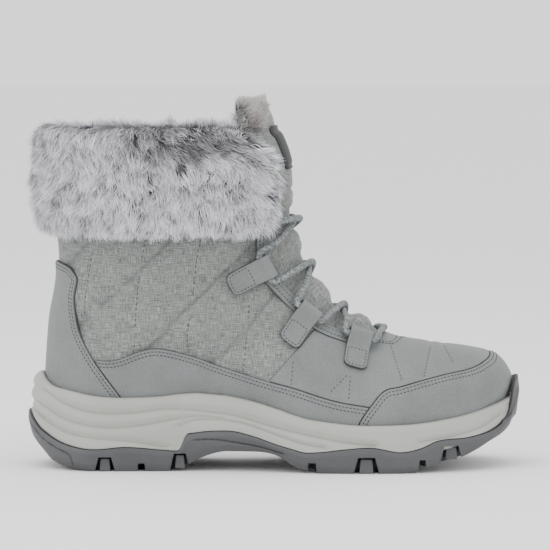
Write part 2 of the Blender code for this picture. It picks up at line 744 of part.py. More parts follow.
# The folded fur cuff: a closed profile carried round the shaft from one front edge to the other

def last_tree():
    t = np.linspace(0, len(LAST) - 1, 90)
    points, faces = [], []
    for side in (-1, 1):
        grid = surface(t[:, None], np.linspace(0, 1, 40), side)
        faces += quads(90, 40, len(points))
        points += list(grid.reshape(-1, 3))
    return BVHTree.FromPolygons([Vector(p) for p in points], faces)


LAST_TREE = last_tree()
CUFF_MIDDLE = 0.29
CUFF_SEAT = 0.0013
CUFF_FRONT = math.radians(29)
LINING_FRONT = math.radians(35)
CUFF = (
    # stand-out as a share of the thickness, height as a share of the shaft height, lining or outside
    (-0.10, 0.840, "lining"),
    (-0.42, 0.852, "lining"),
    (-0.44, 0.930, "lining"),
    (-0.30, 0.995, "lining"),
    (0.10, 1.028, "outside"),
    (0.48, 1.036, "outside"),
    (0.82, 1.018, "outside"),
    (0.98, 0.965, "outside"),
    (1.03, 0.880, "outside"),
    (1.05, 0.790, "outside"),
    (1.03, 0.710, "outside"),
    (0.88, 0.645, "outside"),
    (0.50, 0.615, "outside"),
    (0.12, 0.612, "outside"),
    (0.00, 0.640, "outside"),
    (0.00, 0.740, "against"),
    (0.00, 0.870, "against"),
    (0.00, 1.008, "against"),
    (0.00, 1.008, "inside wall"),
    (0.00, 0.860, "inside wall"),
)


def shaft_point(angle, height, out):
    """A point of the shaft's surface at this angle round its middle, moved out level by out."""
    ray = Vector((math.cos(angle), math.sin(angle), 0))
    start = Vector((SOLE_LENGTH * CUFF_MIDDLE, 0, min(height, HEEL_HEIGHT + SHAFT_HEIGHT)))
    hit, normal, _, _ = LAST_TREE.ray_cast(start, ray)
    flat = Vector((normal.x, normal.y, 0)).normalized()
    flat = flat if flat.dot(ray) > 0 else -flat
    point = hit + flat * out
    return (point.x, point.y, height)


def fur_cuff():
    steps = 36
    points, columns = [], len(CUFF)
    for k in range(steps + 1):
        outer_angle, inner_angle = (a + (2 * math.pi - 2 * a) * k / steps for a in (CUFF_FRONT, LINING_FRONT))
        end = min(k, steps - k)
        full = (0.62, 0.90, 1.0)[min(end, 2)]
        lift = CUFF_SEAT + 0.0045 * float(smoothstep(0.25, 0.75, abs(k / steps - 0.5) * 2))
        for share, height, where in CUFF:
            z = HEEL_HEIGHT + SHAFT_HEIGHT * height
            if where == "outside":
                angle, out = outer_angle, lift + share * CUFF_THICKNESS * full
            elif where == "against":
                angle, out = inner_angle, lift
            else:
                angle, out = inner_angle, -UPPER_WALL - 1.5 * CUFF_SEAT + share * CUFF_THICKNESS
            points.append(shaft_point(angle, z, out))
    faces = quads(steps + 1, columns, wrap=True)
    faces += [tuple(range(columns)), tuple(range(steps * columns, (steps + 1) * columns))]
    cuff = mesh_object("fur_cuff", points, faces, FUR)
    shown = [f.index for f in cuff.data.polygons
             if len(f.vertices) == 4 and f.index < steps * columns and 3 <= f.index % columns <= 11]
    return lean_locks(cuff, shown, LOCK_HEIGHT, (0, 0, -0.5))


def tongue_fur():
    def low(t):
        return phi_of_share(t, 0.955)

    def out(t, u):
        return tongue_out(t, 0.5 + 0.5 * u) - TONGUE_THICKNESS - LINING_GAP

    body = sheet("tongue_fur", LINING, (18.2, 19, 20, 20.7, 21.3, 21.8), 4, out, low=low, high=np.ones_like)
    return thicken(body, LINING_DEPTH, inwards=True)


# Lace tabs: a leather strap that lies on the upper and folds round a tunnel at its throat end

def on_last(x, z, side):
    """The last's surface and normal where the side view shows this point."""
    start = Vector((x, side * BALL_WIDTH, z))
    hit, normal, _, _ = LAST_TREE.ray_cast(start, Vector((0, -side, 0)))
    if hit is None:
        hit, normal, _, _ = LAST_TREE.find_nearest(Vector((x, 0, z)))
    outward = normal if normal.y * side > 0 else -normal
    return np.array(hit), np.array(outward)


def tab_frame(index, side):
    """The tunnel's middle, the way to the stitched end, the way up the throat and the way out."""
    station, height, run_x, run_z, _ = TABS[index]
    x, z = place(station, height)
    hit, out = on_last(x, z, side)
    far, _ = on_last(x + 0.012 * run_x, z + 0.012 * run_z, side)
    run = far - hit
    run -= out * (run @ out)
    run /= np.linalg.norm(run)
    up = np.cross(out, run) * -side
    up = up if up[2] > 0 else -up
    return hit, run, up, out


TUNNEL_OUT = PANEL_GAP + PANEL + GAP + TUNNEL_WALL + TUNNEL_BORE / 2


def lace_tab(name, index, side):
    hit, run, up, out = tab_frame(index, side)
    radius = TUNNEL_BORE / 2 + TUNNEL_WALL
    strap_low = PANEL_GAP + PANEL + GAP
    seat_low = PANEL_GAP + VAMP + GAP if TABS[index][4] else 2 * GAP
    alongs = [(-radius, 0.30, 0.30), (-0.8 * radius, 0.6, 0.6), (-0.4 * radius, 0.92, 0.92), (0, 1, 1),
              (0.4 * radius, 1, 0.92), (0.8 * radius, 1, 0.6), (1.35 * radius, 1, 0)]
    rows = []
    for along, low_share, high_share in alongs:
        low = TUNNEL_OUT - radius * low_share
        high = TUNNEL_OUT + radius * high_share if high_share else strap_low + TAB_THICKNESS
        rows.append((along, low, high, 1.0))
    for share, width in ((0.55, 1.0), (0.85, 1.0), (0.96, 0.86), (1.0, 0.62)):
        rows.append((TAB_LENGTH * share, seat_low, seat_low + TAB_THICKNESS, width))
    points, across = [], (-0.5, 0.5)
    for along, low, high, width in rows:
        line = []
        for place_across in across:
            flat = hit + run * along + up * place_across * width * TAB_WIDTH
            seat, seat_out = on_last(flat[0], flat[2], side)
            if along < 1.2 * radius:
                seat, seat_out = flat, out
            line.append((seat + seat_out * low, seat + seat_out * high))
        points += [low_point for low_point, _ in line] + [high_point for _, high_point in line[::-1]]
    count = 2 * len(across)
    faces = quads(len(rows), count, wrap=True)
    faces += [tuple(range(count)), tuple(range((len(rows) - 1) * count, len(rows) * count))]
    tab = mesh_object(name, points, faces, LEATHER)
    bpy.ops.mesh.primitive_cylinder_add(vertices=10, radius=TUNNEL_BORE / 2, depth=3 * TAB_WIDTH)
    bore = bpy.context.object
    bore.name = name + "_bore"
    bore.location = Vector(hit + out * TUNNEL_OUT)
    bore.rotation_mode = "QUATERNION"
    bore.rotation_quaternion = Vector(up).to_track_quat("Z", "Y")
    for holder in bore.users_collection:
        holder.objects.unlink(bore)
    cutters.objects.link(bore)
    return boolean(tab, hide(bore), "DIFFERENCE")


# The lace: two strands that change sides at each crossing, joined there and at the bottom bar

LACE_OVER = PANEL_GAP + PANEL + 3 * GAP + LACE_DIAMETER / 2
TUNNEL_MOUTH = 0.0018
EDGE_SHARE = 0.35
CROSSINGS = ((12.85, 0.0030), (11.1, 0.0018), (9.4, 0.0006))
BAR = (7.75, 0.0028)


def over_tongue(t, across, out, side):
    return surface(np.array([t]), np.array([1 - across]), side, np.array([out]))[0]


def over_facing(mouth, middle, out):
    """Where the lace passes over the facing's edge, between a tunnel's mouth and the middle."""
    hit, normal, _, _ = LAST_TREE.find_nearest(Vector(mouth + (middle - mouth) * EDGE_SHARE))
    outward = normal if normal.dot(Vector(out)) > 0 else -normal
    return np.array(hit + outward * LACE_OVER)


def strand(first_side):
    """One strand's route from the shaft's tunnel down to the middle of the bottom bar."""
    side, route = first_side, []
    mouth = TAB_WIDTH / 2 + TUNNEL_MOUTH
    for index in range(len(TABS)):
        hit, _, up, out = tab_frame(index, side)
        tunnel = hit + out * TUNNEL_OUT
        if index:
            route += [over_facing(tunnel + up * mouth, route[-1], out), tunnel + up * mouth]
        route += [tunnel + up * 0.15 * TAB_WIDTH, tunnel - up * 0.25 * TAB_WIDTH, tunnel - up * mouth]
        t, lift = CROSSINGS[index] if index < len(CROSSINGS) else BAR
        middle = over_tongue(t, 0.0, lift, side)
        route += [over_facing(route[-1], middle, out), middle]
        side = -side
    route.append(over_tongue(BAR[0], 0.03, BAR[1], side))
    return route


def smooth_route(route, spacing):
    """Points read at even steps from a smooth curve through the route."""
    fixed = np.array([route[0] * 2 - route[1]] + list(route) + [route[-1] * 2 - route[-2]])
    line = []
    for a, b, c, d in zip(fixed, fixed[1:], fixed[2:], fixed[3:]):
        u = np.linspace(0, 1, 16, endpoint=False)[:, None]
        reach = np.linalg.norm(c - b)
        first = (c - a) / max(np.linalg.norm(c - a), 1e-9) * reach
        last = (d - b) / max(np.linalg.norm(d - b), 1e-9) * reach
        line.append((2 * u**3 - 3 * u**2 + 1) * b + (u**3 - 2 * u**2 + u) * first
                    + (3 * u**2 - 2 * u**3) * c + (u**3 - u**2) * last)
    line = np.concatenate(line + [fixed[-2:-1]])
    travel = np.concatenate([[0], np.cumsum(np.linalg.norm(np.diff(line, axis=0), axis=1))])
    at = np.linspace(0, travel[-1], int(travel[-1] / spacing) + 1)
    return np.stack([np.interp(at, travel, line[:, k]) for k in range(3)], 1)


def cord_mesh(name, points, collection):
    curve = bpy.data.curves.new(name, "CURVE")
    curve.dimensions = "3D"
    curve.bevel_depth = LACE_DIAMETER / 2
    curve.bevel_resolution = 1
    curve.use_fill_caps = True
    spline = curve.splines.new("POLY")
    spline.points.add(len(points) - 1)
    for point, place_at in zip(spline.points, points):
        point.co = (*place_at, 1)
    drawn = bpy.data.objects.new(name + "_line", curve)
    collection.objects.link(drawn)
    mesh = bpy.data.meshes.new_from_object(drawn.evaluated_get(bpy.context.evaluated_depsgraph_get()))
    bpy.data.objects.remove(drawn)
    shape = bmesh.new()
    shape.from_mesh(mesh)
    bmesh.ops.remove_doubles(shape, verts=shape.verts, dist=1e-6)
    bmesh.ops.recalc_face_normals(shape, faces=shape.faces)
    shape.to_mesh(mesh)
    shape.free()
    mesh.shade_smooth()
    obj = bpy.data.objects.new(name, mesh)
    collection.objects.link(obj)
    return obj


def lace():
    body = cord_mesh("lace", smooth_route(strand(-1), 1.15 * LACE_DIAMETER), parts)
    body.data.materials.append(CORD)
    other = cord_mesh("lace_strand", smooth_route(strand(1), 1.15 * LACE_DIAMETER), cutters)
    return boolean(body, hide(other), "UNION")


outsole()
midsole()
insole()
upper()
panels()
tongue()
tongue_patch()
tongue_fur()
fur_cuff()
for number in range(len(TABS)):
    lace_tab(f"lace_tab_lateral_{number + 1}", number, -1)
    lace_tab(f"lace_tab_medial_{number + 1}", number, 1)
lace()


def stand_on_origin():
    """Moves everything so that the boot's box stands on z = 0 around the Z axis."""
    bpy.context.view_layer.update()
    graph = bpy.context.evaluated_depsgraph_get()
    corners = np.array([obj.matrix_world @ Vector(corner) for obj in parts.objects
                        for corner in obj.evaluated_get(graph).bound_box])
    low, high = corners.min(0), corners.max(0)
    shift = Vector(((low[0] + high[0]) / 2, (low[1] + high[1]) / 2, low[2]))
    for obj in list(parts.objects) + list(cutters.objects):
        obj.location -= shift


stand_on_origin()
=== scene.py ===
"""A women's right snow boot: grey leather and quilted cloth on a foam and rubber sole, with a fur cuff."""

import json
import math

import bmesh
import bpy
import numpy as np
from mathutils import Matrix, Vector
from mathutils.bvhtree import BVHTree

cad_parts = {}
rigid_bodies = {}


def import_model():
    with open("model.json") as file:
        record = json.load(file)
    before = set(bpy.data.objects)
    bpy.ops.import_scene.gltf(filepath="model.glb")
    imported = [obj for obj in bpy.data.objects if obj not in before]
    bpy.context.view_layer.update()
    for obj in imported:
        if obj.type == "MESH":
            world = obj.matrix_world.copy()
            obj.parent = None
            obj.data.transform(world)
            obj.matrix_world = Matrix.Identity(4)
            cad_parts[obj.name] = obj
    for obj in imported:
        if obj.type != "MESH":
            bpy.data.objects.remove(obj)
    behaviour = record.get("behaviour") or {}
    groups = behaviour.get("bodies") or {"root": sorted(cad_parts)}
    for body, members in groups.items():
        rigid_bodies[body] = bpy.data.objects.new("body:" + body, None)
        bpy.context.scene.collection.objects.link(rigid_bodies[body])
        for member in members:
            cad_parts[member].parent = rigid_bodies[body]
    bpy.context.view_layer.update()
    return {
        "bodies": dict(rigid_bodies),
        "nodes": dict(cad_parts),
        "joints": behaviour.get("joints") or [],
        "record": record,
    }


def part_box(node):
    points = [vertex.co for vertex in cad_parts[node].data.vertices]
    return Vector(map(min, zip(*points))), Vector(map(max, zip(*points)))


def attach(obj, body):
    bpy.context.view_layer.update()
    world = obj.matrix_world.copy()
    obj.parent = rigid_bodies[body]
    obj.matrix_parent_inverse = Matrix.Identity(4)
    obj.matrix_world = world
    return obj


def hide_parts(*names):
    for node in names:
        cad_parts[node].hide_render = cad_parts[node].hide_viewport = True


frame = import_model()

# Outsole. One moulded piece of grey rubber, cupped up round the foam and cemented to it.
# Its edges carry open notches with a lug standing in the wide ones, and grooves cut its tread
# into blocks. A thin dark line runs where it meets the foam, and painted shade darkens the
# grooved lines along its sides.

SOLE_LENGTH = 0.280
BALL_WIDTH = 0.096
HEEL_WIDTH = 0.067
HEEL_HEIGHT = 0.042
GAP = 0.0003

PLAN = (
    # station, half width of heel, half width of ball, swing
    (0.040, 0.50, 0.000, 0.000),
    (0.160, 0.50, 0.000, 0.000),
    (0.285, 0.30, 0.120, -0.010),
    (0.357, 0.20, 0.185, -0.026),
    (0.430, 0.10, 0.263, -0.041),
    (0.500, 0.04, 0.335, -0.046),
    (0.570, 0.00, 0.408, -0.041),
    (0.643, 0.00, 0.450, -0.022),
    (0.700, 0.00, 0.470, -0.005),
    (0.750, 0.00, 0.478, 0.013),
    (0.800, 0.00, 0.476, 0.029),
    (0.857, 0.00, 0.468, 0.039),
    (0.930, 0.00, 0.455, 0.051),
    (0.973, 0.00, 0.448, 0.058),
)
HEEL_END, TOE_END = PLAN[0][0], PLAN[-1][0]
HEEL_ROUND, TOE_ROUND = 0.12, 0.22

SOLE = (
    # station, rim, rand, plate, tread: heights as shares of the heel height
    (0.040, 1.270, 0.760, 0.500, 0.220),
    (0.047, 1.200, 0.660, 0.450, 0.190),
    (0.057, 1.140, 0.560, 0.390, 0.130),
    (0.070, 1.100, 0.480, 0.330, 0.085),
    (0.090, 1.075, 0.385, 0.280, 0.045),
    (0.121, 1.030, 0.310, 0.240, 0.010),
    (0.145, 1.000, 0.295, 0.230, 0.000),
    (0.200, 0.980, 0.325, 0.230, 0.000),
    (0.275, 1.000, 0.290, 0.230, 0.000),
    (0.310, 1.030, 0.275, 0.235, 0.030),
    (0.328, 1.040, 0.500, 0.280, 0.090),
    (0.345, 1.045, 0.520, 0.320, 0.150),
    (0.367, 1.035, 0.540, 0.360, 0.215),
    (0.410, 1.010, 0.550, 0.390, 0.275),
    (0.464, 0.935, 0.480, 0.370, 0.275),
    (0.510, 0.840, 0.375, 0.290, 0.225),
    (0.540, 0.770, 0.320, 0.240, 0.100),
    (0.570, 0.715, 0.275, 0.220, 0.035),
    (0.593, 0.690, 0.285, 0.215, 0.000),
    (0.650, 0.645, 0.330, 0.210, 0.000),
    (0.690, 0.633, 0.350, 0.210, 0.000),
    (0.750, 0.640, 0.285, 0.215, 0.000),
    (0.785, 0.655, 0.330, 0.230, 0.040),
    (0.820, 0.685, 0.430, 0.270, 0.100),
    (0.880, 0.760, 0.460, 0.370, 0.225),
    (0.927, 0.845, 0.545, 0.480, 0.370),
    (0.945, 0.880, 0.640, 0.540, 0.440),
    (0.957, 0.905, 0.800, 0.600, 0.500),
    (0.965, 0.930, 1.120, 0.650, 0.540),
    (0.973, 0.950, 1.215, 0.700, 0.560),
)
RIM, RAND, PLATE, TREAD = 1, 2, 3, 4

STAND_OUT = {
    # edge: how far it stands out from the upper at the heel, the sides and the toe
    "tread": (0.0027, 0.0046, 0.0018),
    "low side": (0.0092, 0.0064, 0.0062),
    "wide side": (0.0112, 0.0078, 0.0079),
    "rand": (0.0108, 0.0074, 0.0070),
    "cup": (0.0083, 0.0050, 0.0059),
    "foam low": (0.0093, 0.0070, 0.0050),
    "foam mid": (0.0095, 0.0074, 0.0050),
    "foam high": (0.0082, 0.0070, 0.0050),
    "rim": (0.0064, 0.0061, 0.0053),
    "rim inside": (0.0019, 0.0019, 0.0019),
}

NOTCHES = (
    # station, width at the floor, share of that width at its top, height, lug
    (0.162, 0.0114, 0.62, 0.0082, True),
    (0.235, 0.0044, 0.80, 0.0046, False),
    (0.312, 0.0108, 0.60, 0.0088, True),
    (0.576, 0.0050, 0.80, 0.0050, False),
    (0.684, 0.0142, 0.66, 0.0092, True),
    (0.796, 0.0042, 0.80, 0.0052, False),
    (0.854, 0.0120, 0.66, 0.0080, True),
)
NOTCH_DEPTH = 0.012
LUG_BACK = 0.003


def monotone(rows, column, at):
    """A smooth curve through one column of a table, with no overshoot between its rows."""
    x = np.array([row[0] for row in rows], float)
    y = np.array([row[column] for row in rows], float)
    step, rise = np.diff(x), np.diff(y)
    secant = rise / step
    slope = np.concatenate([[secant[0]], (secant[:-1] + secant[1:]) / 2, [secant[-1]]])
    slope[1:-1][secant[:-1] * secant[1:] <= 0] = 0
    limit = 3 * np.minimum(np.abs(np.append(secant, secant[-1])), np.abs(np.append(secant[0], secant)))
    slope = np.clip(slope, -limit, limit)
    at = np.clip(np.asarray(at, float), x[0], x[-1])
    i = np.clip(np.searchsorted(x, at, side="right") - 1, 0, len(step) - 1)
    u = (at - x[i]) / step[i]
    h00, h10 = (1 + 2 * u) * (1 - u) ** 2, u * (1 - u) ** 2
    h01, h11 = u * u * (3 - 2 * u), u * u * (u - 1)
    return h00 * y[i] + h10 * step[i] * slope[i] + h01 * y[i + 1] + h11 * step[i] * slope[i + 1]


def smoothstep(low, high, at):
    u = np.clip((np.asarray(at, float) - low) / (high - low), 0, 1)
    return u * u * (3 - 2 * u)


def unit(vectors):
    return vectors / np.maximum(np.linalg.norm(vectors, axis=-1, keepdims=True), 1e-9)


def sole_height(column, station):
    return HEEL_HEIGHT * monotone(SOLE, column, station)


def plan_half(station):
    """Half width of the upper where it stands on the sole, rounded to nothing at heel and toe."""
    core = HEEL_WIDTH * monotone(PLAN, 1, station) + BALL_WIDTH * monotone(PLAN, 2, station)
    heel = np.clip(1 - (station - HEEL_END) / HEEL_ROUND, 0, 1)
    toe = np.clip(1 - (TOE_END - station) / TOE_ROUND, 0, 1)
    return core * np.sqrt(1 - heel**2) * np.sqrt(1 - toe**2)


def plan_middle(station):
    return BALL_WIDTH * monotone(PLAN, 3, station)


ROUND_STEPS = 281
STATIONS = HEEL_END + (TOE_END - HEEL_END) * (1 - np.cos(np.linspace(0, np.pi, ROUND_STEPS))) / 2
RING_STATION = np.concatenate([STATIONS, STATIONS[-2:0:-1]])
RING_SIDE = np.concatenate([-np.ones(ROUND_STEPS), np.ones(ROUND_STEPS - 2)])
RING_POINT = np.stack([SOLE_LENGTH * RING_STATION,
                       plan_middle(RING_STATION) + RING_SIDE * plan_half(RING_STATION)], 1)
RING_ALONG = np.roll(RING_POINT, -1, 0) - np.roll(RING_POINT, 1, 0)
RING_OUT = unit(np.stack([RING_ALONG[:, 1], -RING_ALONG[:, 0]], 1))

# The solids stand with the boot's box on the origin, so everything here is moved the same way.
patch_low, patch_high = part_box("tongue_patch")
PLACE = np.array([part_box("outsole")[0].x, (patch_low.y + patch_high.y) / 2, 0])


def stand_out(edge):
    heel, side, toe = STAND_OUT[edge]
    at_heel = 1 - smoothstep(HEEL_END, HEEL_END + 0.13, RING_STATION)
    at_toe = smoothstep(TOE_END - 0.12, TOE_END - 0.003, RING_STATION)
    return side + (heel - side) * at_heel + (toe - side) * at_toe


def ring(out, height):
    """One loop of points round the sole, this far out from the upper and this high."""
    out, height = np.broadcast_arrays(np.asarray(out, float), np.asarray(height, float))
    return np.column_stack([RING_POINT + RING_OUT * out[:, None], height])


def quads(rows, columns, first=0, wrap=False):
    """Faces of a grid of points; with wrap, its last column joins its first."""
    faces = []
    for i in range(rows - 1):
        a, b = first + i * columns, first + (i + 1) * columns
        for j in range(columns if wrap else columns - 1):
            k = (j + 1) % columns
            faces.append((a + j, a + k, b + k, b + j))
    return faces


def new_object(name, data):
    obj = bpy.data.objects.new(name, data)
    bpy.context.scene.collection.objects.link(obj)
    return obj


def tube(rows, columns):
    """Faces of loops of points joined into a tube, with both ends closed."""
    last = (rows - 1) * columns
    return quads(rows, columns, wrap=True) + [tuple(range(columns))[::-1], tuple(range(last, last + columns))]


def add_mesh(name, points, faces, finish, values=None):
    """A mesh object, moved to the solids' place. Values are kept on its points for the finish to read."""
    mesh = bpy.data.meshes.new(name)
    mesh.from_pydata((np.asarray(points) + PLACE).tolist(), [], faces)
    for key, found in (values or {}).items():
        found = np.asarray(found, np.float32)
        kind, field = ("FLOAT", "value") if found.ndim == 1 else ("FLOAT_VECTOR", "vector")
        mesh.attributes.new(key, kind, "POINT").data.foreach_set(field, found.ravel())
    mesh.shade_smooth()
    if finish:
        mesh.materials.append(finish)
    return new_object(name, mesh)


def fit(obj, slot, *nodes):
    """Puts a finished piece on the boot, in the place of the named solids."""
    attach(obj, "root")
    if nodes:
        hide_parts(*nodes)
    return obj


def face_out(obj):
    """Turns every face of a closed piece outwards."""
    shape = bmesh.new()
    shape.from_mesh(obj.data)
    bmesh.ops.remove_doubles(shape, verts=shape.verts, dist=1e-6)
    bmesh.ops.dissolve_degenerate(shape, edges=shape.edges, dist=1e-7)
    bmesh.ops.recalc_face_normals(shape, faces=shape.faces)
    shape.to_mesh(obj.data)
    shape.free()
    return obj


def new_finish(name, colour, roughness, sheen=0):
    made = bpy.data.materials.new(name)
    made.use_nodes = True
    shader = made.node_tree.nodes["Principled BSDF"]
    shader.inputs["Base Color"].default_value = (*colour, 1)
    shader.inputs["Roughness"].default_value = roughness
    shader.inputs["Sheen Weight"].default_value = sheen
    return made


def add_node(finish, kind, inputs, **settings):
    """Adds a node to a finish; each input is a value or another node's output."""
    node = finish.node_tree.nodes.new("ShaderNode" + kind)
    for key, value in settings.items():
        setattr(node, key, value)
    for socket, value in inputs.items():
        if isinstance(value, bpy.types.NodeSocket):
            finish.node_tree.links.new(value, node.inputs[socket])
        else:
            node.inputs[socket].default_value = value
    return node


def stored(finish, name, output="Fac"):
    """A value kept on the piece's points, such as the distance to its edge."""
    return add_node(finish, "Attribute", {}, attribute_name=name).outputs[output]


def place_on(finish, stretch=(1, 1, 1), attribute=None):
    """Where on the piece a pattern is read, stretched along its axes."""
    source = stored(finish, attribute, "Vector") if attribute else (
        add_node(finish, "TexCoord", {}).outputs["Object"])
    return add_node(finish, "Mapping", {"Vector": source, "Scale": stretch}).outputs["Vector"]


def noise(finish, where, scale, detail=3.0, roughness=0.55):
    return add_node(finish, "TexNoise", {"Vector": where, "Scale": scale, "Detail": detail,
                                         "Roughness": roughness}).outputs["Fac"]


def ramp(finish, value, *stops):
    """A run of greys or colours along a value, from (place, colour) pairs."""
    node = add_node(finish, "ValToRGB", {"Fac": value})
    band = node.color_ramp
    while len(band.elements) < len(stops):
        band.elements.new(0.5)
    for element, (place_at, colour) in zip(band.elements, stops):
        element.position = place_at
        element.color = (*colour, 1) if isinstance(colour, tuple) else (colour, colour, colour, 1)
    return node.outputs["Color"]


def blend(finish, how, share, first, second):
    """Two colours mixed, multiplied or overlaid by a share."""
    node = add_node(finish, "Mix", {}, data_type="RGBA", blend_type=how, clamp_result=True)
    sockets = (node.inputs["Factor"], node.inputs[6], node.inputs[7])
    for socket, value in zip(sockets, (share, first, second)):
        if isinstance(value, bpy.types.NodeSocket):
            finish.node_tree.links.new(value, socket)
        else:
            socket.default_value = (*value, 1) if isinstance(value, tuple) else value
    return node.outputs[2]


def reckon(finish, operation, first, second=0.0):
    return add_node(finish, "Math", {0: first, 1: second}, operation=operation).outputs[0]


def weighed(finish, *parts):
    """The sum of values, each times its own weight."""
    total = None
    for value, weight in parts:
        part = reckon(finish, "MULTIPLY", value, weight)
        total = reckon(finish, "ADD", total, part) if total else part
    return total


def emboss(finish, height, strength, distance, under=None):
    """Fine relief; under is the relief that it lies on."""
    inputs = {"Height": height, "Strength": strength, "Distance": distance}
    if under:
        inputs["Normal"] = under
    return add_node(finish, "Bump", inputs).outputs["Normal"]


def paint(finish, colour=None, relief=None, roughness=None):
    shader = finish.node_tree.nodes["Principled BSDF"]
    for socket, value in (("Base Color", colour), ("Normal", relief), ("Roughness", roughness)):
        if value:
            finish.node_tree.links.new(value, shader.inputs[socket])
    return finish


def rubber_finish():
    grey = (0.068, 0.070, 0.074)
    finish = new_finish("outsole_rubber", grey, 0.55)
    where = place_on(finish)
    cloud = noise(finish, where, 34, 4)
    colour = ramp(finish, cloud, (0.30, (0.058, 0.060, 0.064)), (0.72, (0.080, 0.082, 0.087)))
    # Darker in a thin line at the edge against the foam and at the top of the cup's inside; along the side
    # grooves the darkening is painted shade.
    seam = ramp(finish, stored(finish, "seam"), (0.55, 0.0), (0.85, 1.0))
    colour = blend(finish, "MIX", seam, colour, (0.020, 0.021, 0.024))
    grain = noise(finish, where, 1500, 2)
    sheen = ramp(finish, cloud, (0.2, 0.48), (0.8, 0.66))
    return paint(finish, colour, emboss(finish, grain, 0.35, 0.0002), sheen)


RUBBER = rubber_finish()

EDGE_ROUND = 0.0008
TREAD_COLUMNS = 64
TREAD_GROOVE = 0.0034
GROOVE_HALF = 0.0016
GROOVE_SLOPE = 0.0012
CHEVRON = 0.45
CHEVRON_AHEAD = 0.004
PAIR_HALF = 0.016
CHANNELS = (0.0, 0.62)
CHANNEL_HALF = 0.7 * GROOVE_HALF
WAVE, WAVE_PACE = 0.0016, 0.0032
SIDE_GROOVE = 0.0008
BEVEL_FROM = 0.97
SIDE_LINES = (
    # the parting at the heel, the shank's line and the toe's line, as stations and shares of the heel height
    ((0.0041, 0.617), (0.030, 0.44), (0.0561, 0.324), (0.0894, 0.214), (0.0976, 0.075)),
    ((0.3394, 0.427), (0.38, 0.435), (0.4207, 0.400), (0.47, 0.345), (0.52, 0.255)),
    ((0.955, 0.610), (0.977, 0.700), (0.990, 0.860), (0.9965, 1.060)),
)


def side_distance(x, z, line):
    """Distance in the side view from points to an open line of (station, height) points in metres."""
    line = np.asarray(line, float)
    start, run = line[:-1], np.diff(line, axis=0)
    points = np.stack([np.ravel(x), np.ravel(z)], 1)
    nearest = np.full(len(points), 1e9)
    for a, d in zip(start, run):
        share = np.clip((points - a) @ d / max(d @ d, 1e-12), 0, 1)
        nearest = np.minimum(nearest, np.linalg.norm(points - a - share[:, None] * d, axis=1))
    return nearest.reshape(np.shape(x))


def on_sole(table):
    """A side-view line from stations and shares of the heel height."""
    return rounded([(SOLE_LENGTH * x, HEEL_HEIGHT * z) for x, z in table])


def rounded(line, steps=8):
    """A smooth curve through the points of an open line."""
    fixed = np.array([2 * np.array(line[0]) - np.array(line[1])] + [np.array(p) for p in line]
                     + [2 * np.array(line[-1]) - np.array(line[-2])], float)
    u = np.linspace(0, 1, steps, endpoint=False)[:, None]
    made = []
    for a, b, c, d in zip(fixed, fixed[1:], fixed[2:], fixed[3:]):
        reach = np.linalg.norm(c - b)
        first, last = unit(c - a) * reach, unit(d - b) * reach
        made.append((2 * u**3 - 3 * u**2 + 1) * b + (u**3 - 2 * u**2 + u) * first
                    + (3 * u**2 - 2 * u**3) * c + (u**3 - u**2) * last)
    return np.concatenate(made + [fixed[-2:-1]])


def wedge(outline, y_from, y_to, points, faces):
    """Adds a side-view outline drawn through from one y to another."""
    count, first = len(outline), len(points)
    points += [(x, y, z) for y in (y_from, y_to) for x, z in outline]
    faces += [tuple(first + k for k in range(count)), tuple(first + count + k for k in range(count))[::-1]]
    faces += [(first + k, first + (k + 1) % count, first + count + (k + 1) % count, first + count + k)
              for k in range(count)]


def notch_shapes():
    """The room that the notches take from the tread's edges, and the lugs set back in the wide ones."""
    notches, lugs = ([], []), ([], [])
    for station, width, top_share, height, lug in NOTCHES:
        x, half = SOLE_LENGTH * station, width / 2
        floor = float(sole_height(TREAD, station))
        edge = float(plan_half(station)) + STAND_OUT["wide side"][1]
        middle = float(plan_middle(station))
        top = top_share * half
        low = floor - height
        outline = [(x - half, low), (x + half, low), (x + half, floor), (x + top, floor + height),
                   (x - top, floor + height), (x - half, floor)]
        face = [(x - 0.86 * top, floor + 0.0002), (x + 0.86 * top, floor + 0.0002),
                (x + 0.72 * top, floor + 0.88 * height), (x - 0.72 * top, floor + 0.88 * height)]
        for side in (-1, 1):
            inside, outside = middle + side * (edge - NOTCH_DEPTH), middle + side * (edge + 0.02)
            wedge(outline, min(inside, outside), max(inside, outside), *notches)
            if lug:
                inside = middle + side * (edge - 1.2 * NOTCH_DEPTH)
                outside = middle + side * (edge - LUG_BACK)
                wedge(face, min(inside, outside), max(inside, outside), *lugs)
    return notches, lugs


def tread_cut(x, y, station):
    """How deep the tread's grooves are here: chevrons across, and two channels along the forefoot."""
    half = plan_half(station) + STAND_OUT["tread"][1]
    off = np.abs(y - plan_middle(station))
    deep = np.zeros_like(x)
    for at, _, _, _, wide in NOTCHES:
        for shift in ((-PAIR_HALF, PAIR_HALF) if wide else (0.0,)):
            line = x - SOLE_LENGTH * at - shift + CHEVRON * (half - off) - CHEVRON_AHEAD
            deep = np.maximum(deep, 1 - smoothstep(GROOVE_HALF, GROOVE_HALF + GROOVE_SLOPE, np.abs(line)))
    for channel in CHANNELS:
        line = off - channel * half - WAVE * np.sin(x / WAVE_PACE) * (channel > 0)
        deep = np.maximum(deep, 1 - smoothstep(CHANNEL_HALF, CHANNEL_HALF + GROOVE_SLOPE, np.abs(line)))
    flat = smoothstep(0.0, 0.006, half - off)
    return TREAD_GROOVE * deep * flat


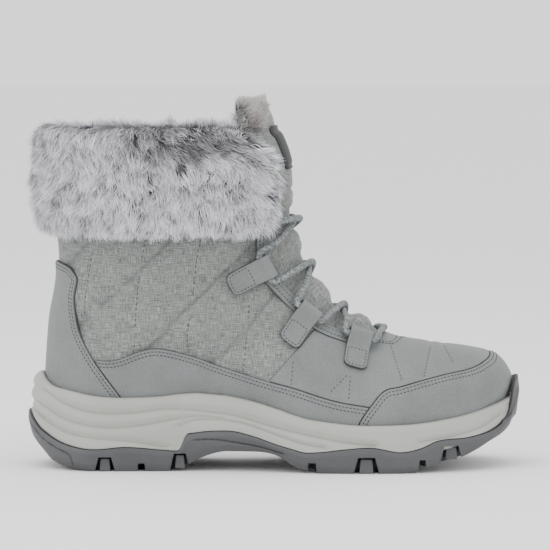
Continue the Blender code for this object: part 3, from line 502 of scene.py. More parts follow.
def outsole_piece():
    rand, plate, tread = (sole_height(k, RING_STATION) for k in (RAND, PLATE, TREAD))
    at_heel = 1 - smoothstep(HEEL_END, HEEL_END + 0.10, RING_STATION)
    at_toe = smoothstep(TOE_END - 0.08, TOE_END, RING_STATION)
    low = 0.30 + 0.12 * at_heel - 0.10 * at_toe
    wide = 0.78 - 0.10 * at_toe
    outs = [stand_out(edge) for edge in ("tread", "low side", "wide side", "rand")]
    rings, seams = [], []
    for share in np.concatenate([[0.0, 0.02], np.linspace(0.06, BEVEL_FROM, 22), [0.988, 1.0]]):
        knots = np.stack([np.zeros_like(low), low, wide, np.ones_like(low)], 1)
        level = np.clip((share - knots[:, :-1]) / np.diff(knots, axis=1), 0, 1)
        out = outs[0] + sum(level[:, k] * (outs[k + 1] - outs[k]) for k in range(3))
        height = tread + share * (rand - tread)
        turned = np.clip((share - BEVEL_FROM) / (1 - BEVEL_FROM), 0, 1)
        bevel = EDGE_ROUND * (1 - np.sqrt(1 - turned**2))
        x = RING_POINT[:, 0] + RING_OUT[:, 0] * out
        line = np.min([side_distance(x, height, on_sole(table)) for table in SIDE_LINES], axis=0)
        groove = SIDE_GROOVE * (1 - smoothstep(0.0002, 0.0009, line))
        rings.append(ring(out - bevel - groove, height))
        # Painted shade along the side grooves, and a thin dark line at the edge against the foam.
        dark_edge, painted_groove_shade = smoothstep(0.975, 0.99, share), 0.9 * (1 - smoothstep(0.0003, 0.0008, line))
        seams.append(np.maximum(dark_edge, painted_groove_shade))
    # The cup's inside is darker at its top, fading towards the plate.
    rings += [ring(stand_out("cup"), rand), ring(stand_out("cup"), plate)]
    seams += [np.ones(len(plate)), np.zeros(len(plate))]
    count, last = len(RING_STATION), len(rings) - 1
    points, faces = list(np.concatenate(rings)), quads(len(rings), count, wrap=True)
    seam = list(np.concatenate(seams))
    for level, columns in ((0, TREAD_COLUMNS), (last, 4)):
        faces += bridge(points, seam, level * count, columns, level == 0)
    obj = add_mesh("outsole_rubber", points, faces, RUBBER, {"seam": seam})
    notches, lugs = notch_shapes()
    cut(face_out(obj), face_out(add_mesh("notch_room", *notches, None)), "DIFFERENCE")
    blocks = face_out(add_mesh("outsole_lugs", *lugs, RUBBER))
    soften(blocks, 0.0005, 2)
    return fit(obj, "rubber", "outsole"), fit(blocks, "rubber")


def bridge(points, seam, first, columns, tread):
    """Closes a loop round the sole with strips from its outer side to its inner one."""
    count = len(RING_STATION)
    rows = []
    for k in range(ROUND_STEPS):
        a, b = first + k, first + (count - k) % count
        if a == b:
            rows.append([a])
            continue
        share = np.linspace(0, 1, columns + 1)[1:-1, None]
        inner = points[a] + share * (points[b] - points[a])
        if tread:
            inner[:, 2] += tread_cut(inner[:, 0], inner[:, 1], STATIONS[k])
        rows.append([a] + list(range(len(points), len(points) + len(inner))) + [b])
        points.extend(inner)
        seam.extend([0.0] * len(inner))
    faces = []
    for one, two in zip(rows, rows[1:]):
        for j in range(columns):
            corners = [one[min(j, len(one) - 1)], one[min(j + 1, len(one) - 1)],
                       two[min(j + 1, len(two) - 1)], two[min(j, len(two) - 1)]]
            faces.append(tuple(dict.fromkeys(corners)))
    return [face for face in faces if len(face) > 2]


def cut(obj, cutter, operation):
    """Cuts or joins two pieces, keeps the result and removes the cutter."""
    modifier = obj.modifiers.new(operation.title(), "BOOLEAN")
    modifier.operation = operation
    modifier.object = cutter
    keep_modified(obj)
    bpy.data.objects.remove(cutter)
    return obj


def soften(obj, width, steps):
    """Rounds the sharp edges of a cut piece."""
    modifier = obj.modifiers.new("Round", "BEVEL")
    modifier.width = width
    modifier.segments = steps
    modifier.angle_limit = math.radians(40)
    modifier.harden_normals = True
    return keep_modified(obj)


def keep_modified(obj):
    """Makes the mesh what its modifiers show, and clears them."""
    graph = bpy.context.evaluated_depsgraph_get()
    shown = obj.evaluated_get(graph)
    mesh = bpy.data.meshes.new_from_object(shown, preserve_all_data_layers=True, depsgraph=graph)
    obj.modifiers.clear()
    obj.data = mesh
    return obj


outsole_piece()

# Midsole. One block of pale moulded foam, with flowing grooves pressed in its sides and
# steps round the heel. It sits in the outsole's cup and holds the upper in its rim. Painted
# shade darkens its grooves and the inside of its rim.

FOAM_LINES = (
    # depth, width of the pressed groove, then its line as stations and shares of the heel height
    (0.0017, 0.0026, ((0.030, 1.060), (0.0488, 1.000), (0.0772, 0.901), (0.124, 0.806), (0.1707, 0.776),
                      (0.2175, 0.785), (0.2866, 0.838), (0.330, 0.830), (0.374, 0.800), (0.4248, 0.750),
                      (0.5163, 0.585), (0.6321, 0.430), (0.700, 0.375))),
    (0.0015, 0.0024, ((0.015, 0.900), (0.0366, 0.833), (0.0772, 0.698), (0.124, 0.620), (0.1821, 0.590),
                      (0.2398, 0.625), (0.2988, 0.698), (0.3496, 0.745), (0.400, 0.720))),
    (0.0013, 0.0022, ((0.3089, 0.617), (0.340, 0.690), (0.374, 0.705), (0.439, 0.655), (0.5041, 0.508),
                      (0.5549, 0.400), (0.600, 0.350))),
    (0.0012, 0.0020, ((0.010, 0.760), (0.0305, 0.684), (0.0772, 0.530), (0.130, 0.455), (0.2175, 0.400),
                      (0.2866, 0.320))),
    (0.0009, 0.0018, ((0.790, 0.420), (0.8699, 0.500), (0.9187, 0.586), (0.9573, 0.717))),
)
FOAM_RINGS = 38
RIM_ROUND = 0.0012
HEEL_STEP = 0.0011


def foam_finish():
    finish = new_finish("midsole_foam", (0.35, 0.35, 0.325), 0.50)
    where = place_on(finish)
    cloud = noise(finish, where, 22, 3)
    colour = ramp(finish, cloud, (0.30, (0.325, 0.328, 0.302)), (0.70, (0.375, 0.378, 0.350)))
    # Painted shade: the colour darkens in the pressed grooves and on the inside of the rim.
    deep = ramp(finish, stored(finish, "groove"), (0.25, 0.0), (1.0, 1.0))
    colour = blend(finish, "MIX", reckon(finish, "MULTIPLY", deep, 0.50), colour, (0.16, 0.16, 0.145))
    skin = noise(finish, where, 900, 2)
    sheen = ramp(finish, cloud, (0.2, 0.44), (0.8, 0.58))
    return paint(finish, colour, emboss(finish, skin, 0.12, 0.0002), sheen)


def hump(at):
    """One at the middle, falling off smoothly to both sides."""
    return np.exp(-(at**2))


def foam_groove(x, z):
    """How far the pressed lines go in at points of the side view, and the painted shade that the nearest
    gives.
    """
    deep, painted_shade = np.zeros(np.shape(x)), np.zeros(np.shape(x))
    for depth, width, line in FOAM_LINES:
        away = side_distance(x, z, on_sole(line))
        deep = np.maximum(deep, depth * hump(away / width))
        painted_shade = np.maximum(painted_shade, hump(away / (0.35 * width)))
    return deep, painted_shade


def midsole_piece():
    finish = foam_finish()
    rand, plate, rim = (sole_height(k, RING_STATION) for k in (RAND, PLATE, RIM))
    bottom = np.minimum(rand + GAP, rim - 0.0015)
    covered = smoothstep(0.002, 0.006, rim - rand)
    inside = stand_out("cup") - 2 * GAP
    low, middle, high, top = (stand_out(edge) for edge in ("foam low", "foam mid", "foam high", "rim"))
    step = HEEL_STEP * (1 - smoothstep(HEEL_END + 0.002, HEEL_END + 0.05, RING_STATION))
    rings, painted_shade_rings = [ring(inside, plate + 2 * GAP), ring(inside, bottom)], [np.zeros(len(rim))] * 2
    for share in np.linspace(0, 1, FOAM_RINGS):
        out = low + smoothstep(0, 0.35, share) * (middle - low)
        out = out + smoothstep(0.35, 0.8, share) * (high - middle)
        out = out + smoothstep(0.75, 1.0, share) * (top - high)
        out = out - step * (1 - np.abs(np.cos(2.5 * np.pi * share)))
        out = out - RIM_ROUND * np.clip((share - 0.93) / 0.07, 0, 1) ** 2 * 0.9
        out = inside + covered * (out - inside)
        height = bottom + share * (rim - bottom)
        deep, painted_shade = foam_groove(RING_POINT[:, 0] + RING_OUT[:, 0] * out, height)
        fade = covered * smoothstep(0, 0.05, share) * (1 - smoothstep(0.92, 1.0, share))
        rings.append(ring(out - deep * fade, height))
        painted_shade_rings.append(painted_shade * fade)
    # Painted shade on the rim's inner lip, darkest where it turns down inside.
    for out, down, painted_shade in ((0.55, 0.0, 0.1), (0.0, 0.0002, 0.6), (0.0, 0.003, 1.0)):
        rim_out, rim_in = np.minimum(top - RIM_ROUND, inside), stand_out("rim inside")
        rings.append(ring(rim_in + out * (rim_out - rim_in), rim + 0.0002 - down))
        painted_shade_rings.append(np.full(len(rim), painted_shade))
    count = len(RING_STATION)
    points, faces = list(np.concatenate(rings)), quads(len(rings), count, wrap=True)
    groove = list(np.concatenate(painted_shade_rings))
    for level in (0, len(rings) - 1):
        faces += bridge(points, groove, level * count, 6, False)
    obj = add_mesh("midsole_foam", points, faces, finish, {"groove": groove})
    return fit(face_out(obj), "foam", "midsole")


midsole_piece()

# Insole. A loose sock of short grey pile over a foam board. It lies inside on the midsole, and
# the upper holds it all round.

UPPER_WALL = 0.0024
INSOLE_GAP = 0.0026
INSOLE_THICKNESS = 0.0045
SEAT_DEPTH = 0.003


def lining_finish():
    finish = new_finish("pile_lining", (0.34, 0.33, 0.32), 0.95, 0.4)
    where = place_on(finish)
    tufts = noise(finish, where, 420, 4, 0.7)
    patches = noise(finish, where, 60, 2)
    shade = weighed(finish, (tufts, 0.75), (patches, 0.25))
    colour = ramp(finish, shade, (0.32, (0.16, 0.152, 0.15)), (0.68, (0.47, 0.455, 0.445)))
    return paint(finish, colour, emboss(finish, tufts, 0.9, 0.0012))


PILE = lining_finish()


def insole_piece():
    seat = sole_height(RIM, RING_STATION) - SEAT_DEPTH + GAP
    out = -UPPER_WALL - INSOLE_GAP
    rings = [ring(out, seat), ring(out + 0.0004, seat + 0.3 * INSOLE_THICKNESS),
             ring(out + 0.0003, seat + 0.8 * INSOLE_THICKNESS), ring(out - 0.0008, seat + INSOLE_THICKNESS)]
    points, faces = list(np.concatenate(rings)), quads(4, len(RING_STATION), wrap=True)
    for level in (0, 3):
        faces += bridge(points, [], level * len(RING_STATION), 12, False)
    return fit(face_out(add_mesh("insole_sock", points, faces, PILE)), "lining", "insole")


insole_piece()

# Upper. Grey melange cloth quilted over wadding, lined with short pile and lasted over the foot.
# It is open at the collar and down the throat, and closed underneath by the sole.

SHAFT_WIDTH = 0.090
SHAFT_HEIGHT = 0.148

LAST = (
    # ridge station, ridge height, base station, base rise, outer half, inner half, level, peak, lean, swing
    (0.973, -0.0135, 0.907, 0.000, 0.300, 0.300, 0.00, 1.00, 1.00, 0.058),
    (0.980, 0.0405, 0.893, 0.000, 0.362, 0.362, 0.05, 0.95, 0.75, 0.060),
    (0.969, 0.0946, 0.875, 0.000, 0.396, 0.396, 0.10, 0.90, 0.45, 0.060),
    (0.946, 0.135, 0.850, 0.000, 0.435, 0.435, 0.14, 0.86, 0.20, 0.058),
    (0.905, 0.155, 0.821, 0.000, 0.465, 0.465, 0.18, 0.86, 0.00, 0.055),
    (0.857, 0.169, 0.786, 0.000, 0.488, 0.488, 0.20, 0.90, 0.00, 0.050),
    (0.807, 0.182, 0.743, 0.000, 0.498, 0.502, 0.20, 0.95, 0.00, 0.045),
    (0.7625, 0.197, 0.693, 0.000, 0.494, 0.496, 0.20, 1.00, 0.00, 0.040),
    (0.707, 0.238, 0.636, 0.000, 0.480, 0.470, 0.22, 1.06, 0.00, 0.035),
    (0.657, 0.292, 0.564, 0.000, 0.449, 0.434, 0.25, 1.12, 0.00, 0.030),
    (0.609, 0.370, 0.486, 0.000, 0.424, 0.410, 0.29, 1.14, 0.00, 0.025),
    (0.571, 0.475, 0.393, 0.000, 0.424, 0.414, 0.33, 1.10, 0.00, 0.020),
    (0.548, 0.581, 0.279, 0.000, 0.434, 0.430, 0.37, 1.02, 0.00, 0.015),
    (0.5375, 0.669, 0.157, 0.000, 0.450, 0.448, 0.41, 0.96, 0.00, 0.008),
    (0.534, 0.730, 0.071, 0.000, 0.464, 0.464, 0.44, 0.93, 0.00, 0.000),
    (0.532, 0.784, 0.040, 0.000, 0.472, 0.472, 0.46, 0.92, 0.00, 0.000),
    (0.530, 0.845, 0.048, 0.216, 0.478, 0.478, 0.47, 0.90, 0.00, 0.000),
    (0.525, 0.899, 0.063, 0.405, 0.483, 0.483, 0.48, 0.90, 0.00, 0.000),
    (0.518, 0.946, 0.060, 0.588, 0.489, 0.489, 0.49, 0.90, 0.00, 0.000),
    (0.511, 0.980, 0.057, 0.764, 0.494, 0.494, 0.50, 0.90, 0.00, 0.000),
    (0.502, 1.000, 0.055, 0.932, 0.500, 0.500, 0.50, 0.90, 0.00, 0.000),
    (0.4950, 1.054, 0.054, 1.000, 0.500, 0.500, 0.50, 0.90, 0.00, 0.000),
    (0.4860, 1.090, 0.054, 1.050, 0.500, 0.500, 0.50, 0.90, 0.00, 0.000),
)
HEEL_BACK, COLLAR = 15, 20
LAST_ROWS = tuple((i,) + row for i, row in enumerate(LAST))

THROAT = (
    # section of the last, share of its height at which the upper ends
    (7.0, 1.00),
    (7.15, 0.95),
    (7.4, 0.915),
    (7.8, 0.885),
    (8.55, 0.868),
    (9.9, 0.812),
    (10.7, 0.806),
    (11.8, 0.808),
    (13.3, 0.866),
    (14.6, 0.905),
    (17.0, 0.920),
    (20.0, 0.935),
    (22.0, 0.935),
)
THROAT_TOE = THROAT[0][0]

QUILT_LINES = (
    # long slanting lines, then steep lines of small stitches, as stations and shares of the shaft's height
    ((0.062, 0.440), (0.0955, 0.512), (0.1565, 0.637), (0.205, 0.740)),
    ((0.110, 0.262), (0.126, 0.291), (0.2114, 0.441), (0.2967, 0.595), (0.372, 0.735)),
    ((0.235, 0.160), (0.248, 0.185), (0.3333, 0.345), (0.4065, 0.480), (0.455, 0.566)),
    ((0.372, 0.120), (0.3841, 0.141), (0.4268, 0.218), (0.4959, 0.380), (0.505, 0.405)),
)
STEEP_LINES = (
    ((0.262, 0.760), (0.2500, 0.660), (0.2317, 0.460), (0.2236, 0.291), (0.2195, 0.150)),
    ((0.366, 0.680), (0.3537, 0.583), (0.3455, 0.510), (0.3415, 0.422), (0.3313, 0.291), (0.3272, 0.206),
     (0.3313, 0.140)),
    ((0.4560, 0.470), (0.4522, 0.372), (0.4472, 0.260), (0.4370, 0.080)),
    ((0.150, 0.700), (0.140, 0.600), (0.128, 0.470), (0.120, 0.360), (0.118, 0.270)),
)
QUILT_SINK = 0.0013
QUILT_WIDTH = 0.0030
STEEP_SINK = 0.0005
STEEP_WIDTH = 0.0022
WADDING = 0.0010
DEEPEST_SINK = 0.0015
LINING_PILE_HEIGHT = 0.0004
CREASES = (
    # sink, width, then the crease as stations and shares of the shaft's height
    (0.0010, 0.0050, ((0.175, 0.200), (0.230, 0.235), (0.290, 0.225))),
    (0.0012, 0.0060, ((0.360, 0.300), (0.420, 0.350), (0.470, 0.440))),
    (0.0010, 0.0060, ((0.080, 0.560), (0.130, 0.590), (0.190, 0.585))),
    (-0.0010, 0.0080, ((0.270, 0.400), (0.330, 0.470), (0.390, 0.580))),
)


def last_point(t, phi, side):
    """The upper's outer face: t along the last's sections, phi 0 at the base and 1 at the ridge."""
    t, phi = np.broadcast_arrays(np.asarray(t, float), np.asarray(phi, float))
    (ridge_x, ridge_z, base, rise, outer, inner, level, peak, lean_share, swing) = (
        monotone(LAST_ROWS, k, t) for k in range(1, 11))
    open_base = t < HEEL_BACK
    ridge_x, ridge_z = SOLE_LENGTH * ridge_x, HEEL_HEIGHT + SHAFT_HEIGHT * ridge_z
    base_x = SOLE_LENGTH * base
    seat = sole_height(RIM, np.where(open_base, base, HEEL_END)) - SEAT_DEPTH + GAP
    base_z = seat + SHAFT_HEIGHT * rise
    foot = np.where(open_base, plan_half(base), 0)
    girth = BALL_WIDTH + (SHAFT_WIDTH - BALL_WIDTH) * smoothstep(8, 15, t)
    widest = np.maximum(girth * (outer if side < 0 else inner), foot)
    start = np.arccos(np.clip(foot / widest, 0, math.cos(0.06)))
    down = start * (1 - np.clip(phi / np.maximum(level, 1e-6), 0, 1))
    toe = np.clip(1 - (TOE_END - base) / TOE_ROUND, 0, 1)
    lean = np.arcsin(toe) * lean_share
    up = lean + (np.pi / 2 - lean) * np.clip((phi - level) / (1 - level), 0, 1)
    share_low = level * (1 - np.sin(down) / np.sin(start))
    share_up = level + (1 - level) * (np.sin(up) - np.sin(lean)) / (1 - np.sin(lean))
    share = np.where(phi < level, share_low, share_up)
    arch = np.clip(np.cos(up) / np.cos(lean), 0, 1) ** peak
    half = widest * np.where(phi < level, np.cos(down), arch)
    middle = np.where(open_base, plan_middle(base), 0)
    middle = middle + share * (BALL_WIDTH * swing - middle)
    x = base_x + share * (ridge_x - base_x)
    z = base_z + share * (ridge_z - base_z)
    return np.stack([x, middle + side * half, z], -1)


def last_normal(t, phi, side):
    small = 1e-3
    t_low, t_high = np.clip(t - small, 0, len(LAST) - 1), np.clip(t + small, 0, len(LAST) - 1)
    p_low, p_high = np.clip(phi - small, 0, 1), np.clip(phi + small, 0, 1)
    along = last_point(t_high, phi, side) - last_point(t_low, phi, side)
    across = last_point(t, p_high, side) - last_point(t, p_low, side)
    normal = np.cross(across, along) * -side
    seam = (phi > 0.9999) | ((t >= HEEL_BACK) & (phi < 0.0001))
    normal[..., 1] = np.where(seam, 0, normal[..., 1])
    size = np.linalg.norm(normal, axis=-1, keepdims=True)
    return normal / np.maximum(size, 1e-12)


def phi_of_share(t, share):
    """Where a section reaches this share of its height, above its widest level."""
    level = monotone(LAST_ROWS, 7, t)
    return level + (1 - level) * np.arcsin(np.clip((share - level) / (1 - level), 0, 1)) / (np.pi / 2)


def throat_phi(t):
    open_phi = phi_of_share(t, monotone(THROAT, 1, t))
    return np.where(np.asarray(t) <= THROAT_TOE, 1.0, open_phi)


def half_girth(t):
    """The length of each section's half loop from base to ridge, taken on its outer side."""
    line = last_point(np.asarray(t, float)[:, None], np.linspace(0, 1, 25), -1)
    return np.linalg.norm(np.diff(line, axis=1), axis=2).sum(1)


def straight(*table):
    """A side-view line from stations and shares of the shaft's height above the heel height."""
    return np.array([(SOLE_LENGTH * x, HEEL_HEIGHT + SHAFT_HEIGHT * z) for x, z in table])


def on_shaft(table):
    return rounded(straight(*table))


def nearest_line(x, z, lines):
    """Distance in the side view to the nearest of these lines on the shaft."""
    return np.min([side_distance(x, z, on_shaft(line)) for line in lines], axis=0)


def creased(relief, x, z, creases):
    for sink, width, line in creases:
        relief = relief - sink * hump(side_distance(x, z, on_shaft(line)) / width)
    return relief


def quilt_relief(x, z):
    """The quilted cloth's own relief: sunk along its seams and creases, plump between them."""
    long_away, steep_away = nearest_line(x, z, QUILT_LINES), nearest_line(x, z, STEEP_LINES)
    relief = -QUILT_SINK * hump(long_away / QUILT_WIDTH) - STEEP_SINK * hump(steep_away / STEEP_WIDTH)
    relief += WADDING * smoothstep(0.001, 0.013, np.minimum(long_away, 1.6 * steep_away))
    return creased(relief, x, z, CREASES) - 0.6 * WADDING


def welded(base, *columns):
    """Which point each point of a grid becomes when those that share a place are made one."""
    places = np.round(base / 1e-6).astype(np.int64)
    _, first, index = np.unique(places, axis=0, return_index=True, return_inverse=True)
    return index.reshape(-1), [np.asarray(column)[first] for column in columns]


def last_grid(sections, low, high, across, sides=(-1, 1)):
    """A grid over the last between two limits of phi, on one or both sides: (t, phi, side) and its faces."""
    t = np.asarray(sections, float)
    start, end = low(t), high(t)
    phi = start[:, None] + (end - start)[:, None] * np.asarray(across, float)
    spots, faces = [], []
    for side in sides:
        made = quads(len(t), len(across), len(spots) * phi.size)
        faces += made if side < 0 else [face[::-1] for face in made]
        columns = [np.broadcast_to(t[:, None], phi.shape), phi, np.full(phi.shape, side)]
        spots.append(np.stack(columns, -1).reshape(-1, 3))
    return np.concatenate(spots), faces


def lifted(spots, out):
    """Points of the last at these (t, phi, side) spots, moved out by their own amounts."""
    points, out = np.empty((len(spots), 3)), np.broadcast_to(out, len(spots))
    for side in (-1, 1):
        own = spots[:, 2] == side
        t, phi = spots[own, 0], spots[own, 1]
        points[own] = last_point(t, phi, side) + out[own][:, None] * last_normal(t, phi, side)
    return points


def closed_shell(spots, faces, top, bottom):
    """A closed skin between two heights above the last, its halves joined where they meet."""
    index, (spots, top, bottom) = welded(lifted(spots, 0.0), spots, np.broadcast_to(top, len(spots)),
                                         np.broadcast_to(bottom, len(spots)))
    kept = {}
    for face in faces:
        corners = tuple(dict.fromkeys(int(index[k]) for k in face))
        if len(corners) > 2:
            kept[corners] = True
    kept, count = list(kept), len(spots)
    edges = {(a, b) for face in kept for a, b in zip(face, face[1:] + face[:1])}
    walls = [(b, a, a + count, b + count) for a, b in edges if (b, a) not in edges]
    points = np.concatenate([lifted(spots, top), lifted(spots, bottom)])
    return points, kept + [tuple(k + count for k in face[::-1]) for face in kept] + sorted(walls), spots


def cloth_finish(name, attribute="weave"):
    """Melange cloth: a plain weave of pale and dark grey yarns, with slubs along both, and painted shade
    along the quilting lines.
    """
    finish = new_finish(name, (0.20, 0.208, 0.200), 0.85, 0.25)
    warp = noise(finish, place_on(finish, (2400, 190, 1), attribute), 1.0, 2, 0.6)
    weft = noise(finish, place_on(finish, (160, 2500, 1), attribute), 1.0, 2, 0.6)
    fleck = noise(finish, place_on(finish, (1300, 1300, 1), attribute), 1.0, 2, 0.7)
    cloud = noise(finish, place_on(finish, (60, 60, 60)), 1.0, 3)
    shade = weighed(finish, (warp, 0.34), (weft, 0.36), (fleck, 0.22), (cloud, 0.08))
    colour = ramp(finish, shade, (0.40, (0.066, 0.071, 0.068)), (0.47, (0.140, 0.149, 0.141)),
                  (0.53, (0.204, 0.215, 0.205)), (0.62, (0.35, 0.364, 0.35)))
    # Painted shade: the cloth darkens along the sunk long quilting lines.
    dark = stored(finish, "seam")
    colour = blend(finish, "MIX", reckon(finish, "MULTIPLY", dark, 0.55), colour, (0.060, 0.062, 0.062))
    threads = reckon(finish, "ADD", warp, weft)
    return paint(finish, colour, emboss(finish, threads, 0.5, 0.0004))


CLOTH = cloth_finish("quilted_cloth")
SECTION_STEPS = np.concatenate([np.linspace(0, 5, 14, endpoint=False), np.linspace(5, COLLAR, 156)])
CLOTH_ACROSS = np.linspace(0, 1, 68)


def around_and_up(points):
    """Where the weave lies: the way round the shaft and along the foot, and the height."""
    x, y, z = np.asarray(points).T
    heel = SOLE_LENGTH * 0.30
    turn = np.arctan2(np.abs(y), heel - x)
    return np.stack([np.where(x < heel, SHAFT_WIDTH / 2 * (turn - math.pi / 2), x - heel), z, y * 0], 1)


def cloth_piece(name, finish, spots, faces, top, bottom, seam, lining=PILE):
    """A closed cloth skin, its outer face woven and its inner face lined."""
    points, faces, spots = closed_shell(spots, faces, top, bottom)
    half = len(spots)
    values = {"weave": around_and_up(points), "seam": np.concatenate([seam(points[:half]), np.zeros(half)])}
    obj = add_mesh(name, points, faces, finish, values)
    obj.data.materials.append(lining)
    inner = np.array([min(face) >= half for face in faces])
    obj.data.polygons.foreach_set("material_index", inner.astype(np.int32))
    return obj


def upper_piece():
    spots, faces = last_grid(SECTION_STEPS, np.zeros_like, throat_phi, CLOTH_ACROSS)
    base = lifted(spots, 0.0)
    relief = quilt_relief(base[:, 0], base[:, 2])
    hem = np.minimum(1, (throat_phi(spots[:, 0]) - spots[:, 1]) * 30)
    collar = smoothstep(0, 0.8, COLLAR - spots[:, 0])
    relief = relief * np.clip(hem, 0, 1) * collar * smoothstep(5, 7, spots[:, 0])
    relief = np.maximum(relief, -DEEPEST_SINK)

    # Painted shade for the cloth beside the long quilting lines, where they sink it.
    def seam(points):
        x, _, z = points.T
        return 1 - smoothstep(0.0002, 0.0014, nearest_line(x, z, QUILT_LINES))

    pile = LINING_PILE_HEIGHT * np.sin(spots[:, 0] * 9.0) * np.sin(spots[:, 1] * 47.0)
    obj = cloth_piece("upper_cloth", CLOTH, spots, faces, relief, -UPPER_WALL + pile, seam)
    return fit(obj, "textile", "upper")


upper_piece()

# Thread. Dark waxed thread in lockstitch: each stitch is a short bead that dips into the work at
# both ends. Every seam of the upper is sewn with it, in rows.

THREAD = 0.00058
STITCH = 0.0021
STEEP_STITCH = 0.0030
BEAD = (
    # way along the stitch, its thickness and its height there, as shares
    (-0.5, 0.25, -0.55),
    (-0.38, 0.85, -0.1),
    (0, 1, 0.12),
    (0.38, 0.85, -0.1),
    (0.5, 0.25, -0.55),
)
SEWN = {}


def thread_finish():
    finish = new_finish("dark_thread", (0.035, 0.037, 0.038), 0.7)
    ply = noise(finish, place_on(finish, (1400, 1400, 1400)), 1.0, 2)
    return paint(finish, ramp(finish, ply, (0.3, (0.022, 0.023, 0.024)), (0.7, (0.060, 0.063, 0.064))))


DARK_THREAD = thread_finish()


def scatter(template, faces, places, frames, scale):
    """One mesh from many copies of a small shape: its three axes, place and size for each copy."""
    template = np.asarray(template, float)
    scaled = template[None] * np.asarray(scale, float)[:, None, :]
    points = np.asarray(places)[:, None] + np.einsum("nij,nkj->nik", scaled, frames)
    faces = np.asarray(faces)
    shifted = faces[None] + (np.arange(len(places)) * len(template))[:, None, None]
    return points.reshape(-1, 3), shifted.reshape(-1, faces.shape[1]).tolist()


def bead(sides=6):
    """A short capsule along its first axis, one long and one thick, sunk at both ends."""
    points = []
    for along, size, rise in BEAD:
        for k in range(sides):
            turn = 2 * math.pi * k / sides
            points.append((along, 0.5 * size * math.cos(turn), 0.5 * size * math.sin(turn) + rise * 0.5))
    return points, quads(len(BEAD), sides, wrap=True)


def travelled(line):
    """The way along a line up to each of its points."""
    return np.concatenate([[0], np.cumsum(np.linalg.norm(np.diff(line, axis=0), axis=1))])


def read_at(values, travel, at):
    """Values kept on a line's points, read at these ways along it."""
    return np.stack([np.interp(at, travel, column) for column in np.transpose(values)], 1)


def sew(seam, line, normals, pitch=STITCH, length=0.62, thread=THREAD):
    """Adds a row of stitches along a line of points to a seam's thread."""
    line, normals = np.asarray(line, float), np.asarray(normals, float)
    travel = travelled(line)
    if travel[-1] < pitch:
        return
    at = np.arange(pitch / 2, travel[-1], pitch)
    along = unit(read_at(line, travel, at + 0.3 * pitch) - read_at(line, travel, at - 0.3 * pitch))
    up = read_at(normals, travel, at)
    up = unit(up - along * (up * along).sum(1, keepdims=True))
    frames = np.stack([along, np.cross(up, along), up], 2)
    scale = np.tile([pitch * length, thread, thread], (len(at), 1))
    SEWN.setdefault(seam, []).append((read_at(line, travel, at), frames, scale))


def finish_seam(seam, name, slot):
    """Makes the stitches that were added to a seam into one piece."""
    places, frames, scale = (np.concatenate(found) for found in zip(*SEWN[seam]))
    points, faces = scatter(*bead(), places, frames, scale)
    return fit(add_mesh(name, points, faces, DARK_THREAD), slot)


def last_tree():
    """The last's face as triangles, for finding the place on it that a side view shows."""
    sections = np.linspace(0, len(LAST) - 1, 160)
    spots, faces = last_grid(sections, np.zeros_like, np.ones_like, np.linspace(0, 1, 70))
    return BVHTree.FromPolygons([Vector(p) for p in lifted(spots, 0.0)], faces)


LAST_TREE = last_tree()


def on_last(x, z, side):
    """The last's face and its normal where the side view shows this point, or None past its outline."""
    hit, normal, _, _ = LAST_TREE.ray_cast(Vector((x, side * BALL_WIDTH, z)), Vector((0, -side, 0)))
    if hit is None:
        return None
    return np.array(hit), np.array(normal if normal.y * side > 0 else -normal)


def sew_side(seam, line, lift, sides=(-1, 1), **thread):
    """Sews along a side-view line, on one or both sides of the boot."""
    line = even(line)
    lift = lift(line[:, 0], line[:, 1]) if callable(lift) else np.full(len(line), lift)
    for side in sides:
        run = []
        for (x, z), height in zip(line, lift):
            found = on_last(x, z, side)
            if found is None or abs(found[1][1]) < 0.05:
                continue
            run.append((found[0] + found[1] * height, found[1]))
        if len(run) > 2:
            sew(seam, [p for p, _ in run], [n for _, n in run], **thread)


def even(line, spacing=0.0012):
    """A line with points at even steps."""
    travel = travelled(line)
    at = np.linspace(0, travel[-1], max(int(travel[-1] / spacing), 2) + 1)
    return read_at(line, travel, at)


for line in QUILT_LINES + STEEP_LINES:
    sew_side("cloth", on_shaft(line), quilt_relief, pitch=STEEP_STITCH if line in STEEP_LINES else STITCH)
finish_seam("cloth", "cloth_thread", "textile")

# Leather panels. Toe cap, mudguards, heel counter and vamp are die-cut from grained grey leather
# and sewn down on the cloth with two rows of stitches; their colour darkens at their cut edges.

PANEL = 0.0012
VAMP = 0.0009
PANEL_GAP = 1.8 * GAP
PANEL_FOOT = 1.7 * PANEL
FACING_WIDTH = 0.0068
FACING_TOE = 8.25
UNDER_CLOTH = 0.0005
VAMP_STITCH = 0.0024
CAP_EDGE = ((0.668, -0.16), (0.6686, -0.101), (0.695, -0.027), (0.720, 0.022), (0.750, 0.035),
            (0.800, 0.059), (0.846, 0.078), (0.8936, 0.0946), (0.921, 0.115), (0.9375, 0.1385),
            (0.937, 0.19))
GUARD_EDGE = ((0.140, 0.141), (0.171, 0.137), (0.193, 0.145), (0.2286, 0.172), (0.259, 0.185),
              (0.2864, 0.181), (0.35, 0.149), (0.378, 0.128), (0.488, 0.062), (0.535, 0.037), (0.62, -0.013),
              (0.6914, -0.037))
COUNTER_EDGE = ((0.03, 0.512), (0.05, 0.51), (0.089, 0.487), (0.1025, 0.461), (0.108, 0.441), (0.102, 0.376),
                (0.1036, 0.322), (0.112, 0.243), (0.140, 0.141), (0.193, 0.0), (0.215, -0.06))
QUARTER_SEAM = ((0.489, 0.062), (0.583, 0.257), (0.60, 0.29))
COUNTER_MEET, GUARD_MEET = 64, 64
SEAM_ROWS = (0.0018, 0.0037)
